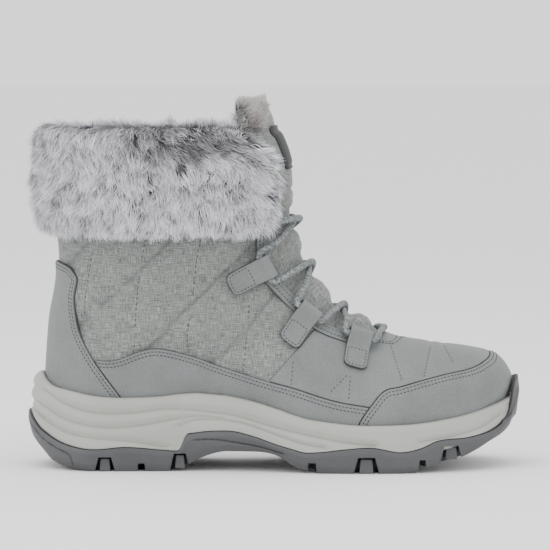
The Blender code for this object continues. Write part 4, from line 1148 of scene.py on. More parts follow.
VAMP_LINES = (
    ((0.5378, 0.137), (0.5345, 0.041)),
    ((0.6463, 0.083), (0.6098, 0.014)),
    ((0.6524, 0.080), (0.6484, -0.013)),
    ((0.7347, 0.180), (0.7561, 0.053)),
    ((0.8200, 0.178), (0.8130, 0.156), (0.7988, 0.068)),
    ((0.8333, 0.206), (0.8597, 0.118)),
)
VAMP_CREASES = (
    # sink, width, then the crease as stations and shares of the shaft's height
    (0.0006, 0.0040, ((0.610, 0.170), (0.660, 0.120), (0.700, 0.040))),
    (0.0007, 0.0050, ((0.660, 0.190), (0.720, 0.130), (0.740, 0.060))),
    (0.0004, 0.0040, ((0.740, 0.170), (0.790, 0.120), (0.800, 0.085))),
)


def leather_finish(name, colour, grain=1.0):
    """Grained leather: fine pebbles, a soft cloudiness, sunk seam rows and a dark cut edge."""
    finish = new_finish(name, colour, 0.52)
    where = place_on(finish)
    cells = add_node(finish, "TexVoronoi", {"Vector": where, "Scale": 1300.0}, feature="SMOOTH_F1")
    pebble = cells.outputs["Distance"]
    cloud = noise(finish, where, 28, 5, 0.6)
    pores = noise(finish, where, 2600, 2, 0.7)
    shade = weighed(finish, (cloud, 0.75), (pebble, 0.35))
    low, high = (tuple(channel * share for channel in colour) for share in (0.80, 1.16))
    tint = ramp(finish, shade, (0.34, low), (0.66, high))
    # Darker within half a millimetre of the cut edge, and on the cut faces and the undersides.
    edge = reckon(finish, "MULTIPLY", stored(finish, "edge"), 1000.0)
    dark = ramp(finish, edge, (0.10, 1.0), (0.42, 0.0))
    tint = blend(finish, "MIX", reckon(finish, "MULTIPLY", dark, 0.72), tint, (0.030, 0.032, 0.033))
    rows = reckon(finish, "MULTIPLY", stored(finish, "row"), 200.0)
    channel = ramp(finish, rows, (0.29, 1.0), (0.36, 0.0), (0.43, 1.0),
                   (0.67, 1.0), (0.74, 0.0), (0.81, 1.0))
    relief = emboss(finish, pebble, 0.20 * grain, 0.0003)
    relief = emboss(finish, pores, 0.10 * grain, 0.0002, relief)
    relief = emboss(finish, channel, 0.5, 0.0004, relief)
    return paint(finish, tint, relief, ramp(finish, cloud, (0.3, 0.46), (0.7, 0.62)))


LEATHER = leather_finish("grey_leather", (0.152, 0.164, 0.162))


def facing_phi(t):
    """The outer edge of the leather strip that runs along the throat."""
    return throat_phi(t) - FACING_WIDTH / half_girth(t)


def inside(points, outline):
    """Whether side-view points lie inside a closed outline."""
    x, z = points[:, 0][:, None], points[:, 1][:, None]
    after = np.roll(outline, -1, 0)
    crosses = (outline[:, 1] > z) != (after[:, 1] > z)
    rise = np.where(after[:, 1] == outline[:, 1], 1e-12, after[:, 1] - outline[:, 1])
    reach = (after[:, 0] - outline[:, 0]) * (z - outline[:, 1]) / rise + outline[:, 0]
    return (crosses & (x < reach)).sum(1) % 2 == 1


def skin_distance(spots, line, closed=False):
    """Distance over the last's skin from spots to a line drawn in the side view."""
    line = np.vstack([line, line[:1]]) if closed else np.asarray(line, float)
    base = lifted(spots, 0.0)
    normal = lifted(spots, 1.0) - base
    points, normal = base[:, [0, 2]], normal[:, [0, 2]]
    found = np.full(len(points), 1e9)
    lean = np.zeros(len(points))
    for a, b in zip(line, line[1:]):
        run = b - a
        share = np.clip((points - a) @ run / max(run @ run, 1e-12), 0, 1)
        away = points - a - share[:, None] * run
        size = np.linalg.norm(away, axis=1)
        nearer = size < found
        found = np.where(nearer, size, found)
        lean = np.where(nearer, (away * normal).sum(1) / np.maximum(size, 1e-9), lean)
    found = found / np.sqrt(np.clip(1 - lean**2, 0.04, 1))
    return np.where(inside(points, line[:-1]), found, -found) if closed else found


def cut_along(spots, faces, depth, level, keep_outside):
    """Cuts a grid along a level of its depth, with new spots on the line, and drops what lies outside it."""
    spots, depth, made, kept = list(spots), list(depth + 1e-10), {}, []

    def crossing(a, b):
        key = (min(a, b), max(a, b))
        if key not in made:
            share = (level - depth[key[0]]) / (depth[key[1]] - depth[key[0]])
            made[key] = len(spots)
            spots.append(spots[key[0]] + share * (spots[key[1]] - spots[key[0]]))
            depth.append(level)
        return made[key]

    for face in faces:
        deep = [depth[k] >= level for k in face]
        if all(deep):
            kept.append(face)
            continue
        if not any(deep):
            if keep_outside:
                kept.append(face)
            continue
        above, below = [], []
        for a, b in zip(face, tuple(face[1:]) + tuple(face[:1])):
            (above if depth[a] >= level else below).append(a)
            if (depth[a] >= level) != (depth[b] >= level):
                above.append(crossing(a, b))
                below.append(above[-1])
        kept.append(tuple(above))
        if keep_outside:
            kept.append(tuple(below))
    return np.array(spots), kept, np.array(depth)


def runs_at(spots, faces, value, level):
    """The lines on a grid along which a value crosses a level, each as a run of spots."""
    ends, next_to = {}, {}
    for face in faces:
        found = []
        for a, b in zip(face, tuple(face[1:]) + tuple(face[:1])):
            if (value[a] >= level) != (value[b] >= level):
                key = (min(a, b), max(a, b))
                share = (level - value[key[0]]) / (value[key[1]] - value[key[0]])
                ends[key] = spots[key[0]] + share * (spots[key[1]] - spots[key[0]])
                found.append(key)
        if len(found) == 2:
            next_to.setdefault(found[0], []).append(found[1])
            next_to.setdefault(found[1], []).append(found[0])
    runs, seen = [], set()
    for start in sorted(next_to, key=lambda key: (len(next_to[key]), key)):
        if start in seen:
            continue
        run, here = [], start
        while here is not None:
            seen.add(here)
            run.append(ends[here])
            here = next((key for key in next_to[here] if key not in seen), None)
        runs.append(np.array(run))
    return runs


def edge_profile(depth, thickness, reach=0.0007):
    """A cut edge: half the thickness at the very edge, rounded up to all of it."""
    share = np.clip(1 - depth / reach, 0, 1)
    return thickness * (0.40 + 0.60 * np.sqrt(1 - share**2))


def sew_rows(seam, spots, faces, away, height, rows=SEAM_ROWS, **thread):
    """Rows of stitches over a grid, at their distances from a seam."""
    for row in rows:
        for run in runs_at(spots, faces, away, row):
            points = lifted(run, height)
            sew(seam, points, points - lifted(run, 0.0), **thread)


def extended(line, by=0.02):
    """An open line carried on straight past both ends."""
    first, last = line[0] + unit(line[0] - line[1]) * by, line[-1] + unit(line[-1] - line[-2]) * by
    return np.vstack([first, line, last])


def leather_skin(name, spots, faces, top, bottom, depth, away=1.0):
    """A closed leather piece that keeps the distances to its cut edge and to its sewn seam."""
    _, kept = welded(lifted(spots, 0.0), depth, np.broadcast_to(away, len(spots)))
    points, faces, _ = closed_shell(spots, faces, top, bottom)
    edge, row = (np.concatenate([column, column * 0]) for column in kept)
    return add_mesh(name, points, faces, LEATHER, {"edge": edge, "row": row})


def leather_piece(name, nodes, outline, first, last, thickness, sewn, sides=(-1, 1), relief=None):
    """A panel on the upper, cut to its side-view outline; sewn names the edge that carries the stitches."""
    def foot(t):
        return np.where(np.asarray(t) < 14.9, PANEL_FOOT / half_girth(t), 0)

    sections = np.linspace(first, last, int((last - first) * 11) + 2)
    spots, faces = last_grid(sections, foot, throat_phi, np.linspace(0, 1, 68), sides)

    def depth_of(spots):
        depth = skin_distance(spots, outline, closed=True) - GAP / 2
        if name == "vamp_leather":
            to_facing = (facing_phi(spots[:, 0]) - spots[:, 1]) * half_girth(spots[:, 0]) - GAP
            depth = np.where(spots[:, 0] > FACING_TOE - 0.02, np.minimum(depth, to_facing), depth)
        return depth

    depth = depth_of(spots)
    for level in (0.0, 0.0002, 0.0007):
        spots, faces, depth = cut_along(spots, faces, depth, level, keep_outside=level > 0)
    used = sorted({k for face in faces for k in face})
    renamed = {old: new for new, old in enumerate(used)}
    spots, depth = spots[used], depth[used]
    faces = [tuple(renamed[k] for k in face) for face in faces]
    top = PANEL_GAP + edge_profile(depth, thickness)
    if relief:
        base = lifted(spots, 0.0)
        top = top + relief(base[:, 0], base[:, 2]) * smoothstep(0, 0.002, depth)
    away = 1.0
    if sewn is not None:
        away = skin_distance(spots, extended(sewn))
        sew_rows("leather", spots, faces, away, PANEL_GAP + thickness)
    return fit(leather_skin(name, spots, faces, top, -UNDER_CLOTH, depth, away), "leather", *nodes)


def vamp_relief(x, z):
    """The vamp's own relief: drawn down along its lines of stitches, creased where the foot bends."""
    away = nearest_line(x, z, VAMP_LINES)
    relief = 0.0002 * smoothstep(0.001, 0.006, away) - 0.0004 * hump(away / 0.0014)
    return creased(relief, x, z, VAMP_CREASES)


def over_vamp(x, z):
    return PANEL_GAP + VAMP + vamp_relief(x, z)


def panel_pieces():
    edges = (CAP_EDGE, GUARD_EDGE, COUNTER_EDGE, QUARTER_SEAM)
    cap, guard, counter, quarter = (on_shaft(line) for line in edges)
    meet = int(np.argmin(np.linalg.norm(cap - guard[-1], axis=1)))
    rear = counter[COUNTER_MEET:][::-1]
    toe = np.vstack([cap, straight((1.1, 0.3), (1.1, -0.16))])
    leather_piece("toe_cap_leather", ("toe_cap",), toe, 0, 8.6, PANEL, cap)
    heel = np.vstack([counter, straight((0.19, -0.1), (0.03, -0.1))])
    leather_piece("counter_leather", ("heel_counter",), heel, 12, 18, PANEL, counter)
    side = np.vstack([guard, cap[:meet][::-1], straight((0.215, -0.16)), rear])
    for word, face in (("lateral", -1), ("medial", 1)):
        leather_piece(f"guard_leather_{word}", (f"mudguard_{word}",), side, 6, 14.7, PANEL, guard, (face,))
    vamp = np.vstack([quarter, straight((0.70, 0.5)), cap[meet:][::-1], guard[:GUARD_MEET:-1]])
    leather_piece("vamp_leather", ("vamp",), vamp, 2.6, 12.8, VAMP, None, relief=vamp_relief)
    for line in VAMP_LINES:
        sew_side("leather", on_shaft(line), over_vamp, pitch=VAMP_STITCH)


panel_pieces()

# Facings. A leather strip along each side of the throat, turned over a cord, and a leather
# crescent that closes the throat's foot over the tongue. All are sewn down with two rows.

FACING_END = 17.6
FACING_ROWS = 190
FACING_ACROSS = np.concatenate([(0, 0.02, 0.07), np.linspace(0.14, 0.86, 12), (0.93, 0.98, 1)])
FACING_STITCHES = (0.0020, 0.0047)
FACING_UNDER = 0.0003
CORD_RISE, CORD_AT, CORD_REACH = 0.0003, 0.80, 0.10
SECTION_RUN = 0.011
FOOT_END = 8.35
FOOT_REACH = 0.70
FOOT_WIDTH = 0.0046
FOOT_TOP = 0.0008
FOOT_UNDER = 0.0014
FOOT_MARGIN = 0.0004
FOOT_STITCHES = ((0.10, 0.0014), (0.23, 0.0032))


def facing_piece(word, side):
    sections = np.linspace(FACING_TOE, FACING_END, FACING_ROWS)
    spots, faces = last_grid(sections, facing_phi, throat_phi, FACING_ACROSS, (side,))
    share = np.tile(FACING_ACROSS, FACING_ROWS)
    ends = np.minimum(spots[:, 0] - FACING_TOE, FACING_END - spots[:, 0]) * SECTION_RUN
    depth = np.minimum(np.minimum(share, 1 - share) * FACING_WIDTH, ends)
    cord = CORD_RISE * hump((share - CORD_AT) / CORD_REACH)
    top = GAP + edge_profile(depth, PANEL) + cord
    sew_rows("leather", spots, faces, share * FACING_WIDTH, GAP + PANEL, FACING_STITCHES)
    obj = leather_skin(f"facing_leather_{word}", spots, faces, top, -FACING_UNDER, depth)
    return fit(obj, "leather", f"facing_{word}")


def inside_throat(t, reach, width):
    """The throat's edge moved in: by a share of a section at its toe and by a width along its sides."""
    moved = np.maximum(throat_phi(np.maximum(t - reach, THROAT_TOE)), throat_phi(t) + width / half_girth(t))
    return np.minimum(np.where(t <= THROAT_TOE + reach, 1, moved), 1)


def throat_foot_piece():
    def outer(t):
        return inside_throat(t, 0, FOOT_MARGIN)

    def inner(t):
        return inside_throat(t, FOOT_REACH, FOOT_WIDTH)

    sections = np.linspace(THROAT_TOE + 0.03, FOOT_END, 70)
    spots, faces = last_grid(sections, outer, inner, np.linspace(0, 1, 14))
    low, high = outer(spots[:, 0]), inner(spots[:, 0])
    share = (spots[:, 1] - low) / np.maximum(high - low, 1e-6)
    to_inner = np.where(spots[:, 0] < THROAT_TOE + FOOT_REACH, 1, 1 - share) * FOOT_WIDTH
    ends = (FOOT_END - spots[:, 0]) * SECTION_RUN
    depth = np.minimum(np.minimum(share * FOOT_WIDTH + FOOT_MARGIN / 2, to_inner), ends)
    top = FOOT_TOP - PANEL + edge_profile(depth, PANEL)
    fit(leather_skin("throat_foot_leather", spots, faces, top, -FOOT_UNDER, depth), "leather")
    for reach, width in FOOT_STITCHES:
        start = THROAT_TOE + reach
        t = start + (FOOT_END - 0.12 - start) * np.linspace(0, 1, 90) ** 2
        row = [(at, inside_throat(at, reach, width), side) for at, side in ((t[::-1], -1), (t[1:], 1))]
        normals = np.concatenate([last_normal(*spot) for spot in row])
        line = np.concatenate([last_point(*spot) for spot in row])
        sew("leather", line + normals * FOOT_TOP, normals)


facing_piece("lateral", -1)
facing_piece("medial", 1)
throat_foot_piece()

# Tongue. A padded tongue of the same cloth, tucked under both edges of the throat. It swells
# between the lace crossings and is folded into the gusset along its sides.

TONGUE_THICKNESS = 0.005
TONGUE_LAP = 0.007
SWELL = (
    # section of the last, outward swell along the tongue's middle in millimetres
    (6.6, -3.4),
    (7.15, -3.3),
    (7.8, -1.2),
    (8.6, 4.2),
    (9.4, -2.4),
    (10.2, 2.6),
    (11.1, -1.6),
    (12.0, 2.0),
    (12.95, -1.6),
    (14.2, 1.6),
    (16.0, 1.8),
    (19.0, 1.0),
    (22.0, 0.6),
)
TONGUE_FOLDS = (
    # section at the middle, how far it drops towards the side, sink, width in sections
    (8.15, -0.5, 0.0007, 0.13),
    (8.95, 0.7, 0.0008, 0.12),
    (9.75, -0.6, 0.0009, 0.13),
    (10.65, 0.8, 0.0009, 0.14),
    (11.55, -0.7, 0.0010, 0.14),
    (12.45, 0.6, 0.0009, 0.14),
    (13.55, -0.7, 0.0009, 0.15),
    (14.90, 0.5, 0.0010, 0.17),
    (16.40, -0.4, 0.0008, 0.18),
)
TONGUE_SEAMS = (8.6, 10.2, 12.0, 14.2)
SEAM_SINK = 0.0005
TOE_LAP = 0.010
WEAVE_RUN = 0.0105


def tongue_low(t):
    t = np.asarray(t, float)
    lap = np.where(t < 7.8, TOE_LAP, TONGUE_LAP)
    return np.minimum(throat_phi(t), phi_of_share(t, 0.95)) - lap / half_girth(t)


def tongue_out(t, phi):
    """How far the tongue stands out from the last: under the upper at its edges, swelling in its middle."""
    low = tongue_low(t)
    share = np.clip((phi - low) / (1 - low), 0, 1)
    under = -UPPER_WALL - 4 * GAP
    out = under + smoothstep(0.30, 0.95, share) * (0.001 * monotone(SWELL, 1, t) - under)
    for middle, drop, sink, width in TONGUE_FOLDS:
        away = (t - middle - drop * (1 - share)) / width
        out = out - sink * hump(away) * smoothstep(0.1, 0.6, share)
    return out


def tongue_piece():
    sections = np.linspace(6.7, 22, 180)
    spots, faces = last_grid(sections, tongue_low, np.ones_like, np.linspace(0, 1, 36))
    top = tongue_out(spots[:, 0], spots[:, 1])
    away = np.min([np.abs(spots[:, 0] - seam) for seam in TONGUE_SEAMS], axis=0)
    top = top - SEAM_SINK * hump(away / 0.10) * smoothstep(0.6, 1.0, spots[:, 1])
    points, faces, kept = closed_shell(spots, faces, top, top - TONGUE_THICKNESS)
    t, phi, side = kept.T
    weave = np.stack([side * (1 - phi) * half_girth(t), WEAVE_RUN * t, t * 0], 1)
    values = {"weave": np.tile(weave, (2, 1)), "seam": np.zeros(len(points))}
    obj = fit(add_mesh("tongue_cloth", points, faces, CLOTH, values), "textile", "tongue")


tongue_piece()

# Patch. A plain dark moulded patch with rounded corners and a raised rim. It is bonded to the
# tongue's cloth near its head.

PATCH_HALF_WIDTH = 0.013
PATCH_THICKNESS = 0.001
PATCH_ENDS = (16.2, 20.4)
PATCH_ROUND = 0.35
PATCH_ROWS = 46
PATCH_BEAD = 0.0003
PATCH_UNDER = 0.0004


def patch_finish():
    finish = new_finish("dark_patch", (0.020, 0.021, 0.023), 0.5)
    where = place_on(finish)
    grain = noise(finish, where, 1500, 3)
    cloud = noise(finish, where, 90, 3)
    tint = ramp(finish, cloud, (0.3, (0.016, 0.017, 0.019)), (0.7, (0.029, 0.030, 0.032)))
    sheen = ramp(finish, cloud, (0.3, 0.42), (0.7, 0.56))
    return paint(finish, tint, emboss(finish, grain, 0.25, 0.0002), sheen)


def patch_piece():
    low_end, high_end = PATCH_ENDS

    def corner(t):
        inset = np.maximum(PATCH_ROUND - np.minimum(t - low_end, high_end - t), 0) / PATCH_ROUND
        half = PATCH_HALF_WIDTH * (0.72 + 0.28 * np.sqrt(1 - np.clip(inset, 0, 1) ** 2))
        return 1 - half / half_girth(t)

    turn = np.linspace(0, np.pi, PATCH_ROWS)
    sections = low_end + (high_end - low_end) * (1 - np.cos(turn)) / 2
    across = np.sin(np.linspace(0, np.pi / 2, 16))
    spots, faces = last_grid(sections, corner, np.ones_like, across)
    ends = SECTION_RUN * np.minimum(spots[:, 0] - low_end, high_end - spots[:, 0])
    depth = np.minimum(np.tile(across, 2 * PATCH_ROWS) * PATCH_HALF_WIDTH, ends)
    seat = tongue_out(spots[:, 0], spots[:, 1])
    rim = PATCH_BEAD * hump((depth - 0.0012) / 0.0006)
    top = seat + GAP + edge_profile(depth, PATCH_THICKNESS) + rim
    points, faces, _ = closed_shell(spots, faces, top, seat - PATCH_UNDER)
    return fit(add_mesh("plain_patch", points, faces, patch_finish()), "patch", "tongue_patch")


patch_piece()

# Lace tabs. Leather straps folded round a tunnel for the lace at the throat, laid flat on the
# upper and sewn down round their rounded ends.

TAB_LENGTH = 0.023
TAB_WIDTH = 0.0134
TAB_THICKNESS = 0.0020
TAB_ROUND = 0.0042
TUNNEL_BORE = 0.0058
TUNNEL_WALL = 0.0011
TUNNEL_SIDES = 28
TUNNEL_RADIUS = TUNNEL_BORE / 2 + TUNNEL_WALL
STRAP_SEAT = PANEL_GAP + PANEL + GAP
TUNNEL_OUT = STRAP_SEAT + TUNNEL_RADIUS
TABS = (
    # end station, end height, run along, run up, sewn to the vamp
    (0.4860, 0.722, -0.970, -0.240, False),
    (0.4763, 0.4795, -0.888, -0.459, False),
    (0.5609, 0.3016, -0.558, -0.830, True),
    (0.6680, 0.1982, -0.186, -0.983, True),
)
TAB_STITCH = 0.0015
TAB_CROSS = 0.0085
TAB_ACROSS = (-1, -0.985, -0.94, -0.85, -0.6, -0.3, 0, 0.3, 0.6, 0.85, 0.94, 0.985, 1)
TAB_BEVEL = 0.0006
AIM = 0.012


def tab_frame(index, side):
    """The tunnel's middle, the way to the stitched end, the way up the throat and the way out."""
    station, height, run_x, run_z, _ = TABS[index]
    x, z = SOLE_LENGTH * station, HEEL_HEIGHT + SHAFT_HEIGHT * height
    hit, out = on_last(x, z, side)
    far, _ = on_last(x + AIM * run_x, z + AIM * run_z, side)
    run = far - hit
    run = unit(run - out * (run @ out))
    up = np.cross(out, run) * -side
    return hit, run, up if up[2] > 0 else -up, out


def on_tab(frame, side, along, across, height):
    """A point of a strap and the way out there; the strap leaves the tunnel's plane to lie on the upper."""
    hit, run, up, out = frame
    flat = hit + run * along + up * across
    found = on_last(flat[0], flat[2], side)
    share = float(smoothstep(0.9 * TUNNEL_RADIUS, 1.7 * TUNNEL_RADIUS, along)) if found else 0.0
    seat, seat_out = found or (flat, out)
    normal = unit(out + (seat_out - out) * share)
    return flat + (seat - flat) * share + normal * height, normal


def strap_heights(index, along):
    """The underside and the top of a tab, this far from the tunnel's middle."""
    seat = PANEL_GAP + VAMP if TABS[index][4] else 0.0004
    if along < 0:
        reach = TUNNEL_RADIUS * math.sqrt(max(1 - (along / TUNNEL_RADIUS) ** 2, 0.01))
        return TUNNEL_OUT - reach, TUNNEL_OUT + reach
    fall = float(smoothstep(0, 1.7 * TUNNEL_RADIUS, along))
    settled = float(smoothstep(1.2 * TUNNEL_RADIUS, 2.4 * TUNNEL_RADIUS, along))
    low = STRAP_SEAT + (seat - STRAP_SEAT) * settled
    top = low + TAB_THICKNESS
    return low, TUNNEL_OUT + TUNNEL_RADIUS + (top - TUNNEL_OUT - TUNNEL_RADIUS) * fall


def tab_piece(index, side, word):
    frame = tab_frame(index, side)
    hit, run, up, out = frame
    alongs = [-TUNNEL_RADIUS * math.cos(a) for a in np.linspace(0, math.pi / 2, 8)]
    alongs += list(np.linspace(0.0, TAB_LENGTH - TAB_ROUND, 26)[1:])
    alongs += [TAB_LENGTH - TAB_ROUND + TAB_ROUND * math.sin(a) for a in np.linspace(0, math.pi / 2, 9)[1:]]
    points, edges = [], []
    for along in alongs:
        into = max(along - (TAB_LENGTH - TAB_ROUND), 0)
        half = TAB_WIDTH / 2 - TAB_ROUND + math.sqrt(max(TAB_ROUND**2 - into**2, 1e-8))
        low, high = strap_heights(index, along)
        line = []
        for share in TAB_ACROSS:
            edge = min((1 - abs(share)) * half, max(TAB_LENGTH - along, 0), along + TUNNEL_RADIUS + 0.001)
            drop = TAB_BEVEL * (1 - math.sqrt(1 - max(1 - edge / TAB_BEVEL, 0) ** 2))
            line.append((on_tab(frame, side, along, share * half, low)[0],
                         on_tab(frame, side, along, share * half, high - drop)[0], edge))
        points += [low_point for low_point, _, _ in line] + [high_point for _, high_point, _ in line[::-1]]
        edges += [0.0] * len(line) + [edge for _, _, edge in line[::-1]]
    faces = tube(len(alongs), 2 * len(TAB_ACROSS))
    name = f"tab_{word}_{index + 1}"
    tab = face_out(add_mesh(name, points, faces, LEATHER, {"edge": edges, "row": np.ones(len(points))}))
    ring_points = []
    for reach in (-1.5 * TAB_WIDTH, 1.5 * TAB_WIDTH):
        for a in np.linspace(0, 2 * math.pi, TUNNEL_SIDES, endpoint=False):
            rim = run * math.cos(a) + out * math.sin(a)
            ring_points.append(hit + out * TUNNEL_OUT + up * reach + rim * TUNNEL_BORE / 2)
    bore = add_mesh(name + "_bore", ring_points, tube(2, TUNNEL_SIDES), None)
    cut(tab, face_out(bore), "DIFFERENCE")
    half = TAB_WIDTH / 2 - TAB_STITCH
    end, bend = TAB_LENGTH - TAB_STITCH, TAB_ROUND - TAB_STITCH
    border = [(TAB_CROSS, half), (end - bend, half)]
    corner = [(math.sin(a), math.cos(a)) for a in np.linspace(0.2, 1.4, 6)]
    border += [(end - bend + bend * sine, half - bend + bend * cosine) for sine, cosine in corner]
    border += [(along, -across) for along, across in border[::-1]] + [border[0]]
    rows = [on_tab(frame, side, along, across, strap_heights(index, along)[1])
            for along, across in even(border, 0.0006)]
    sew("leather", [p for p, _ in rows], [n for _, n in rows])
    return fit(tab, "leather", f"lace_tab_{word}_{index + 1}")


for number in range(len(TABS)):
    tab_piece(number, -1, "lateral")
    tab_piece(number, 1, "medial")
finish_seam("leather", "leather_thread", "leather")

# Laces. Two strands of round braided cord, pale with darker flecks. They run through the tabs,
# cross over the tongue and meet in a bar at the foot of the throat; both ends stop in the top tabs.

LACE_DIAMETER = 0.0036
YARNS = 4
YARN_PITCH = 0.0030
LACE_OVER = PANEL_GAP + PANEL + 3 * GAP + LACE_DIAMETER / 2
TUNNEL_MOUTH = 0.0018
EDGE_SHARE = 0.35
CROSSINGS = (
    # section of the last, how far out the lower and the upper strand lie
    (12.85, 0.0008, 0.0040),
    (11.10, 0.0002, 0.0034),
    (9.40, -0.0004, 0.0028),
)
BAR = (7.75, 0.0028, 0.0028)


def cord_finish():
    finish = new_finish("braided_cord", (0.27, 0.30, 0.305), 0.75)
    where = place_on(finish, (1, 1, 1), "braid")
    fleck = noise(finish, where, 420, 2, 0.7)
    fibre = noise(finish, place_on(finish, (3500, 700, 1), "braid"), 1.0, 2)
    # Painted shade in the valleys between the yarns of the braid.
    painted_braid_shade = stored(finish, "painted_braid_shade")
    tint = ramp(finish, fleck, (0.36, (0.085, 0.095, 0.098)), (0.46, (0.165, 0.185, 0.188)),
                (0.62, (0.29, 0.315, 0.318)))
    tint = blend(finish, "MIX", reckon(finish, "MULTIPLY", painted_braid_shade, 0.65), tint, (0.075, 0.082, 0.085))
    return paint(finish, tint, emboss(finish, fibre, 0.4, 0.0003))


def over_tongue(t, across, out, side):
    return lifted(np.array([[t, 1 - across, side]], float), out)[0]


def over_facing(mouth, middle, out):
    """Where the lace passes over the facing's edge, between a tunnel's mouth and the middle."""
    hit, normal, _, _ = LAST_TREE.find_nearest(Vector(mouth + (middle - mouth) * EDGE_SHARE))
    outward = normal if normal.dot(Vector(out)) > 0 else -normal
    return np.array(hit + outward * LACE_OVER)


def strand(first_side):
    """One strand's route from the shaft's tunnel down to the middle of the bottom bar."""
    side, route = first_side, []
    mouth = TAB_WIDTH / 2 + TUNNEL_MOUTH
    for index in range(len(TABS)):
        hit, _, up, out = tab_frame(index, side)
        tunnel = hit + out * TUNNEL_OUT
        if index:
            route += [over_facing(tunnel + up * mouth, route[-1], out), tunnel + up * mouth]
        route += [tunnel + up * 0.15 * TAB_WIDTH, tunnel - up * 0.25 * TAB_WIDTH, tunnel - up * mouth]
        on_top = (index % 2 == 0) == (first_side < 0)
        t, *lifts = (CROSSINGS + (BAR,))[index]
        middle = over_tongue(t, 0.0, lifts[on_top], side)
        route += [over_facing(route[-1], middle, out), middle]
        side = -side
    route.append(over_tongue(BAR[0], 0.03, BAR[1], side))
    return route


def lace_piece(name, route, *nodes, sides=20, spacing=0.0005):
    """A strand of braided cord along a route; two sets of yarns cross over its round."""
    line = even(rounded(route, 24), spacing)
    along = unit(np.gradient(line, axis=0))
    across = [unit(np.cross(along[0], (0, 0, 1.0)))]
    for way in along[1:]:
        across.append(unit(across[-1] - way * (across[-1] @ way)))
    across = np.array(across)
    other = np.cross(along, across)
    turn = 2 * np.pi * np.arange(sides) / sides
    travel = spacing * np.arange(len(line))[:, None]
    phase = 2 * np.pi * travel / YARN_PITCH
    left_lay = np.abs(np.sin(YARNS / 2 * turn + phase / 2))
    right_lay = np.abs(np.sin(YARNS / 2 * turn - phase / 2 + 0.8))
    lay = np.maximum(left_lay, right_lay)
    radius = LACE_DIAMETER / 2 * (0.90 + 0.12 * lay)
    rim = np.cos(turn)[None, :, None] * across[:, None] + np.sin(turn)[None, :, None] * other[:, None]
    points = (line[:, None] + radius[..., None] * rim).reshape(-1, 3)
    faces = tube(len(line), sides)
    braid = np.stack([LACE_DIAMETER / 2 * turn + lay * 0, travel + lay * 0, lay * 0], -1)
    # The valleys between the yarns are kept for painted shade.
    values = {"braid": braid.reshape(-1, 3), "painted_braid_shade": (1 - smoothstep(0.70, 0.90, lay)).ravel()}
    return fit(face_out(add_mesh(name, points, faces, CORD, values)), "cord", *nodes)


CORD = cord_finish()
lace_piece("lace_strand_1", strand(-1), "lace")
lace_piece("lace_strand_2", strand(1))

# Fur cuff. Deep pile on a knitted backing, folded down outside the shaft and round its collar.
# Pale tips stand on dark roots; the hairs lie in locks that fall down and outwards.

CUFF_MIDDLE = 0.29
CUFF_THICKNESS = 0.013
CUFF_SEAT = 0.0013
CUFF_FRONT = math.radians(29)
LINING_FRONT = math.radians(35)
HAIR_WIDTH = 0.00042
BACKING = (
    # stand-out as a share of the thickness, height as a share of the shaft height, where it lies
    (-0.10, 0.850, "lining"),
    (-0.26, 0.870, "lining"),
    (-0.26, 0.930, "lining"),
    (-0.12, 0.980, "lining"),
    (0.12, 1.003, "outside"),
    (0.32, 1.004, "outside"),
    (0.50, 0.985, "outside"),
    (0.58, 0.950, "outside"),
    (0.60, 0.880, "outside"),
    (0.60, 0.790, "outside"),
    (0.58, 0.720, "outside"),
    (0.46, 0.672, "outside"),
    (0.26, 0.652, "outside"),
    (0.08, 0.650, "outside"),
)
CUFF_STEPS, BACKING_STEPS, END_STEPS = 140, 50, 4
CORNER = math.radians(17)


def shaft_point(angle, height, out):
    """A point of the shaft's surface at this angle round its middle, moved out level by out."""
    ray = Vector((math.cos(angle), math.sin(angle), 0))
    start = Vector((SOLE_LENGTH * CUFF_MIDDLE, 0, min(height, HEEL_HEIGHT + SHAFT_HEIGHT)))
    hit, normal, _, _ = LAST_TREE.ray_cast(start, ray)
    flat = Vector((normal.x, normal.y, 0)).normalized()
    flat = flat if flat.dot(ray) > 0 else -flat
    point = hit + flat * out
    return (point.x, point.y, height)


def backing_grid():
    """The knitted backing's points: round the shaft from one front edge to the other, and over the fold.

    The sheet that carries the pile comes first, then the side that lies against the shaft.
    """
    rows, back = [], []
    for k in range(-END_STEPS, CUFF_STEPS + END_STEPS + 1):
        share = min(max(k / CUFF_STEPS, 0), 1)
        shrink = 1 - max(-k, k - CUFF_STEPS, 0) / (END_STEPS + 0.5)
        end = min(share, 1 - share) * 36
        full = (0.62 + 0.38 * float(smoothstep(0, 2, end))) * shrink
        lift = CUFF_SEAT + 0.0045 * float(smoothstep(0.25, 0.75, abs(share - 0.5) * 2))

        def point(height, out, lining):
            turned = CORNER * float(smoothstep(0.86, 1.004, height)) ** 1.5
            front = LINING_FRONT + 0.5 * turned if lining else CUFF_FRONT + turned
            angle = front + (2 * math.pi - 2 * front) * share
            return shaft_point(angle, HEEL_HEIGHT + SHAFT_HEIGHT * height, out)

        inside_wall = -UPPER_WALL - 1.5 * CUFF_SEAT
        line = []
        for out_share, height, where in BACKING:
            if where == "outside":
                line.append(point(height, lift + out_share * CUFF_THICKNESS * full, False))
            else:
                line.append(point(height, inside_wall + out_share * CUFF_THICKNESS * shrink, True))
        line = rounded(line, 6)
        travel = travelled(line)
        rows.append(read_at(line, travel, np.linspace(0, travel[-1], BACKING_STEPS + 1)))
        against = [point(height, lift * 0.6, False) for height in (0.70, 0.80, 0.90, 0.985)]
        back.append(against + [point(height, inside_wall, True) for height in (0.985, 0.90)])
    return np.array(rows), np.array(back)


